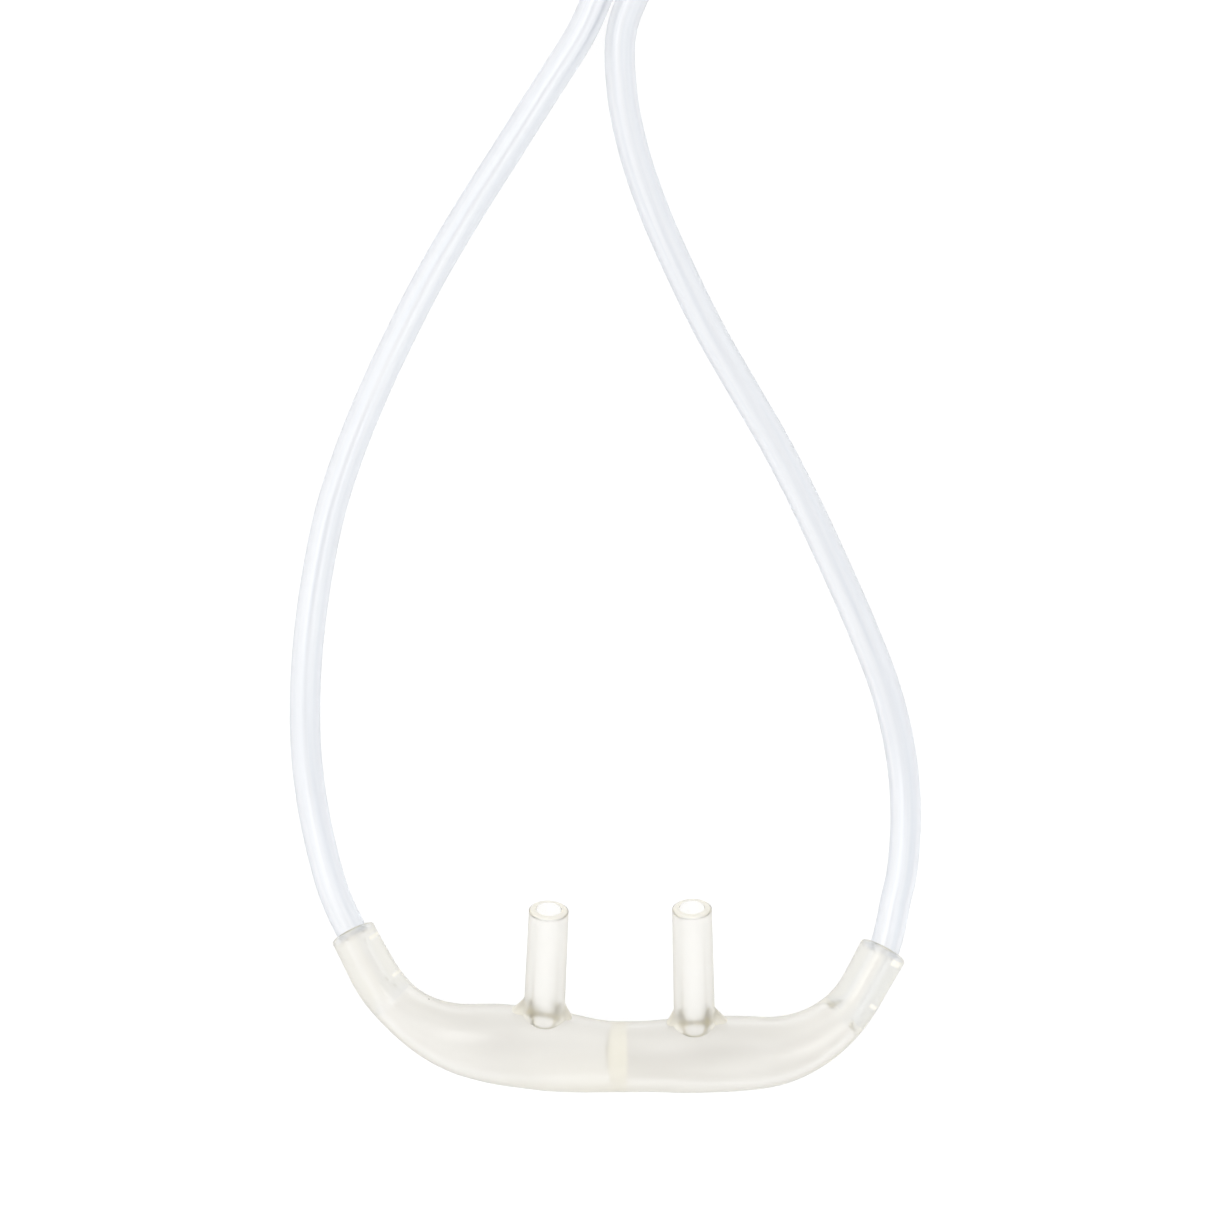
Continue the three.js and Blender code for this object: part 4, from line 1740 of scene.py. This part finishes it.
@dataclass
class LuerLock(Connector):
    """The sampling line's connector: a cone inside a threaded collar, on a body with grip flutes."""

    length: float = 23.0
    collar_radius: float = 5.0
    collar_bore: float = 3.95
    collar_length: float = 9.0
    cone_radius: float = 2.0
    cone_lead: float = 2.0
    body_radius: float = 3.2
    thread_pitch: float = 2.5
    thread_height: float = 0.32
    flute: float = 0.35
    profile_radii: list[float] = field(init=False)

    def profile(self) -> list[tuple[float, float]]:
        """Gives the closed profile, finely spaced for the thread in its collar.

        Returns:
            Radius and distance from the back face of each point.
        """
        collar_from = self.length - self.collar_length
        floor = collar_from + 1.5
        tip = self.length + self.cone_lead
        rows = [
            (self.body_radius, 0, 0.4),
            (self.body_radius, collar_from - 3, 1.0),
            (self.collar_radius, collar_from, 0.8),
            (self.collar_radius, self.length, 0.3),
            (self.collar_bore, self.length, 0.15),
            (self.collar_bore, floor, 0.2),
            (self.cone_radius + 0.25, floor, 0.3),
            (self.cone_radius, tip, 0.2),
            (self.gas_path, tip, 0.1),
            (self.gas_path, self.socket_depth, 0),
            (self.socket, self.socket_depth, 0),
            (self.socket, 0, 0.2),
        ]
        return self.spaced(self.smooth_profile(rows))

    def relief(self, place: int, along: float, turn: np.ndarray) -> np.ndarray:
        """Gives the collar's thread, its grip ribs and the body's flutes around the axis.

        Args:
            place: Which point of the profile it is.
            along: Distance from the back face.
            turn: Angles around the axis.

        Returns:
            Height at each angle, below 0 where it is cut in.
        """
        radius = self.profile_radii[place]
        collar_from = self.length - self.collar_length
        if abs(radius - self.collar_bore) < 0.02 and collar_from + 2 < along < self.length - 0.4:
            wave = np.cos(2 * (turn - math.pi * along / self.thread_pitch))
            return -self.thread_height * np.clip(wave * 2 - 0.9, 0, 1)
        if abs(radius - self.collar_radius) < 0.02 and collar_from + 0.8 < along < self.length - 0.8:
            edge = min(along - collar_from - 0.8, self.length - 0.8 - along)
            return -self.flute * 0.6 * ramp(edge, 0, 0.8) * (0.5 - 0.5 * np.cos(16 * turn)) ** 3
        if abs(radius - self.body_radius) < 0.02 and 1 < along < collar_from - 3:
            return -self.flute * ramp(min(along - 1, collar_from - 3 - along), 0, 1.2) * (0.5 - 0.5 * np.cos(8 * turn))
        return np.zeros_like(turn)

    def build(self, material: bpy.types.Material) -> bpy.types.Object:
        """Builds the connector and dresses it.

        Args:
            material: Its material.

        Returns:
            The connector.
        """
        self.profile_radii = [radius for radius, _ in self.profile()]
        piece = self.turned()
        dress(piece, material, Slot.LUER, Body.CANNULA, "sample_connector")
        return piece


@dataclass
class Funnel(Connector):
    """The oxygen line's connector: a flared mouth that pushes onto an outlet, with ribs along its body."""

    length: float = 30.0
    mouth_radius: float = 5.6
    bore_radius: float = 3.5
    bore_taper: float = 0.3
    bore_depth: float = 16.0
    back_radius: float = 3.2
    rib: float = 0.4
    ribs: int = 12
    outer_points: int = field(init=False)

    def profile(self) -> list[tuple[float, float]]:
        """Gives the closed profile, finely spaced for its ribs.

        Returns:
            Radius and distance from the back face of each point.
        """
        bore_end = self.length - self.bore_depth
        rows = [
            (self.back_radius, 0, 0.5),
            (self.back_radius, self.socket_depth, 1.5),
            (self.back_radius + 1.3, self.socket_depth + 3, 1.5),
            (self.mouth_radius - 0.4, self.length - 8, 1.0),
            (self.mouth_radius, self.length - 3, 1.0),
            (self.mouth_radius, self.length, 0.6),
            (self.bore_radius, self.length, 0.5),
            (self.bore_radius - self.bore_taper, bore_end, 0.3),
            (self.gas_path, bore_end - 1.5, 0.2),
            (self.gas_path, self.socket_depth, 0),
            (self.socket, self.socket_depth, 0),
            (self.socket, 0, 0.2),
        ]
        return self.spaced(self.smooth_profile(rows), 0.5)

    def relief(self, place: int, along: float, turn: np.ndarray) -> np.ndarray:
        """Gives the ribs around the axis, which fade out towards both ends.

        Args:
            place: Which point of the profile it is.
            along: Distance from the back face.
            turn: Angles around the axis.

        Returns:
            Height at each angle, below 0 where it is cut in.
        """
        outside = place < self.outer_points
        if not outside:
            return np.zeros_like(turn)
        fade = ramp(along, 1.0, 3.5) * (1 - ramp(along, self.length - 7, self.length - 4))
        return -self.rib * fade * (0.5 - 0.5 * np.cos(self.ribs * turn)) ** 2

    def build(self, material: bpy.types.Material) -> bpy.types.Object:
        """Builds the connector and dresses it.

        Args:
            material: Its material.

        Returns:
            The connector.
        """
        alongs = [along for _, along in self.profile()]
        self.outer_points = alongs.index(max(alongs))
        piece = self.turned()
        dress(piece, material, Slot.FUNNEL, Body.CANNULA, "oxygen_connector")
        return piece


# Studio


@dataclass
class Studio:
    """The pale sweep, the soft lights and the camera straight above."""

    eye: tuple[float, float, float] = (-1.347, 45.410, 520.0)
    lens: float = 130.02
    sensor: float = 36.0
    floor_size: float = 6.0
    floor_gap: float = 0.0001
    sky: tuple[tuple[float, Colour], ...] = (
        (0.50, (1.0, 1.0, 1.0)),
        (0.56, (0.95, 0.95, 0.95)),
        (0.61, (0.72, 0.73, 0.75)),
        (0.68, (0.85, 0.85, 0.87)),
        (0.76, (1.15, 1.15, 1.15)),
        (0.88, (1.1, 1.1, 1.1)),
        (0.95, (0.85, 0.85, 0.87)),
        (1.00, (0.75, 0.75, 0.77)),
    )
    sky_lean: float = 0.22
    lamps: tuple[tuple[tuple[float, float, float], float, float], ...] = (
        ((-0.9, 0.5, 1.3), 1.2, 6.8),
        ((1.0, -0.4, 1.2), 1.0, 4.0),
    )
    SKY_PEAK: ClassVar[float] = 1.5

    def camera(self) -> None:
        """Hangs the camera over the floor, looking straight down with +Y upwards in the picture."""
        data = bpy.data.cameras.new("overhead")
        data.lens = self.lens
        data.sensor_width = self.sensor
        data.sensor_fit = "HORIZONTAL"
        data.clip_start = 0.01
        data.clip_end = 50.0
        eye = bpy.data.objects.new("overhead", data)
        eye.location = [value * MM for value in self.eye]
        bpy.context.scene.collection.objects.link(eye)
        bpy.context.scene.camera = eye

    def sweep(self) -> None:
        """Lays the pale floor under the cannula, with a gently raised far rim so that it fades into the sky."""
        steps, sides = 24, 64
        rings = []
        for k in range(steps + 1):
            share = k / steps
            radius = self.floor_size * share**1.5 / 2
            height = -self.floor_gap + 0.5 * ramp(share, 0.8, 1.0)
            angles = np.linspace(0, 2 * math.pi, sides, endpoint=False)
            rings.append(np.stack([radius * np.cos(angles), 0.1 + radius * np.sin(angles), np.full(sides, height)], 1))
        points = [[0.0, 0.1, -self.floor_gap]] + np.vstack(rings[1:]).tolist()
        faces = [(0, 1 + k, 1 + (k + 1) % sides) for k in range(sides)]
        for ring in range(steps - 1):
            for k in range(sides):
                following = (k + 1) % sides
                low, high = 1 + ring * sides, 1 + (ring + 1) * sides
                faces.append((low + k, high + k, high + following, low + following))
        mesh = bpy.data.meshes.new("studio_sweep")
        mesh.from_pydata(points, [], faces)
        mesh.shade_smooth()
        mesh.materials.append(SWEEP_PAPER.material())
        floor = bpy.data.objects.new("studio_sweep", mesh)
        bpy.context.scene.collection.objects.link(floor)

    def lights(self) -> None:
        """Lights the room evenly: a soft sky with darker and brighter belts, and two wide soft boxes."""
        world = bpy.data.worlds.new("soft_room")
        world.use_nodes = True
        bench = Bench(world.node_tree)
        direction = bench.node("ShaderNodeTexCoord", output="Generated")
        height = bench.node("ShaderNodeSeparateXYZ", {}, {0: direction}, output="Z")
        stops = [(position, tuple(c / self.SKY_PEAK for c in colour)) for position, colour in self.sky]
        ramp_wire = bench.node("ShaderNodeValToRGB", {"stops": stops}, {"Fac": height * 0.5 + 0.5}, "Color")
        side = bench.node("ShaderNodeSeparateXYZ", {}, {0: direction}, output="X")
        strength = (1 - side * self.sky_lean) * self.SKY_PEAK
        glow = bench.node("ShaderNodeBackground", {}, {"Color": ramp_wire, "Strength": strength})
        bench.node("ShaderNodeOutputWorld", {}, {"Surface": glow})
        bpy.context.scene.world = world
        for number, (place, size, power) in enumerate(self.lamps, 1):
            data = bpy.data.lights.new(f"soft_box_{number}", "AREA")
            data.shape = "SQUARE"
            data.size = size
            data.energy = power
            lamp = bpy.data.objects.new(f"soft_box_{number}", data)
            lamp.location = place
            aim = np.array([0.0, 0.1, 0.0]) - place
            lamp.rotation_euler = Matrix(
                np.stack([unit(np.cross(UP, -aim)), unit(np.cross(-aim, np.cross(UP, -aim))), unit(-aim)], 1).tolist()
            ).to_euler()
            bpy.context.scene.collection.objects.link(lamp)

    def rendering(self) -> None:
        """Lets light pass through many layers of clear plastic, and shows tones as they are."""
        scene = bpy.context.scene
        scene.view_settings.view_transform = "Standard"
        scene.cycles.max_bounces = 30
        scene.cycles.transmission_bounces = 26
        scene.cycles.glossy_bounces = 24
        scene.cycles.diffuse_bounces = 6
        scene.cycles.transparent_max_bounces = 16
        scene.cycles.min_light_bounces = 6

    def build(self) -> None:
        """Builds the studio around the cannula."""
        self.camera()
        self.sweep()
        self.lights()
        self.rendering()
        LOG.info("studio: camera, sweep, %d soft boxes", len(self.lamps))


SAMPLE_ROUTE = (
    (-33.1, 10.9, 4.3), (-34.3, 14.4, 3.7), (-36.0, 21.5, 2.5), (-36.9, 28.5, 1.9),
    (-37.0, 35.6, 1.8), (-36.5, 42.7, 1.8), (-35.5, 49.8, 1.8), (-34.0, 56.9, 1.8),
    (-31.7, 64.0, 1.8), (-28.8, 71.1, 1.8), (-25.5, 78.1, 1.8), (-21.8, 85.2, 1.8),
    (-17.6, 92.3, 1.8), (-13.1, 99.4, 1.8), (-8.6, 106.5, 2.1), (-4.2, 113.5, 2.7),
)
OXYGEN_ROUTE = (
    (32.6, 10.9, 4.3), (33.4, 14.4, 3.7), (33.9, 21.5, 2.5), (33.3, 28.5, 1.9),
    (31.6, 35.6, 1.8), (28.9, 42.7, 1.8), (25.8, 49.8, 1.8), (22.5, 56.9, 1.8),
    (18.9, 64.0, 1.8), (14.8, 71.1, 1.8), (10.8, 78.1, 1.8), (7.3, 85.2, 1.8),
    (4.2, 92.3, 1.8), (1.8, 99.4, 1.8), (0.4, 106.5, 2.1), (0.4, 113.5, 2.7),
)
OXYGEN_AFTER_SLIDER = (
    (24.4, 168.0, 1.9), (28.9, 179.0, 1.8), (32.2, 190.5, 1.8), (33.4, 201.0, 1.9), (33.5, 210.0, 2.2),
)
SAMPLE_CENTRE = (-8.4862, 174.8937)
OXYGEN_CENTRE = (5.3553, 235.3289)
SIDE_BY_SIDE = 30.576
OXYGEN_LEAD_IN = 15.027


def main() -> None:
    """Builds the studio and the cannula's pieces in order."""
    Studio().build()
    facepiece, run, winding = Facepiece(), SlideRun(), Winding()
    beside_coil = (
        OXYGEN_CENTRE[0] + winding.outer_turn, OXYGEN_CENTRE[1] - OXYGEN_LEAD_IN, winding.base + winding.tube_radius,
    )
    sample = Line(
        name="sample",
        half=LEFT,
        route=SAMPLE_ROUTE,
        offset=run.spacing / 2,
        # Where the painted dark line lies across this tube.
        shade_line=0.72,
        centre=np.array(SAMPLE_CENTRE),
        first_touch=-run.heading,
        last_layer=1424,
        climb=((3.6, -13.5, 12.2),),
        connector_radius=5.0,
        straight=SIDE_BY_SIDE,
    )
    oxygen = Line(
        name="oxygen",
        half=RIGHT,
        route=OXYGEN_ROUTE,
        offset=-run.spacing / 2,
        centre=np.array(OXYGEN_CENTRE),
        first_touch=0.0,
        last_layer=1040,
        climb=((4.6, -17.1, 12.2),),
        connector_radius=5.6,
        straight=SIDE_BY_SIDE,
        after=(*OXYGEN_AFTER_SLIDER, beside_coil),
    )
    tubing = CLEAR_TUBING.material(along=True)
    for line in (sample, oxygen):
        line.build(facepiece, run, winding, tubing)
    facepiece.build()
    sleeve = SliderSleeve(run).build(SLIDE_VINYL.material())
    paper = TIE_PAPER.material()
    ties = [CoilTie(line.name, line.centre, winding).build(paper) for line in (sample, oxygen)]
    luer = LuerLock("luer", sample.connector_back(winding)).build(LUER_PLASTIC.material())
    funnel = Funnel("funnel", oxygen.connector_back(winding)).build(FUNNEL_VINYL.material())
    sample.declare(facepiece)
    oxygen.declare(facepiece)


if __name__ == "__main__":
    main()
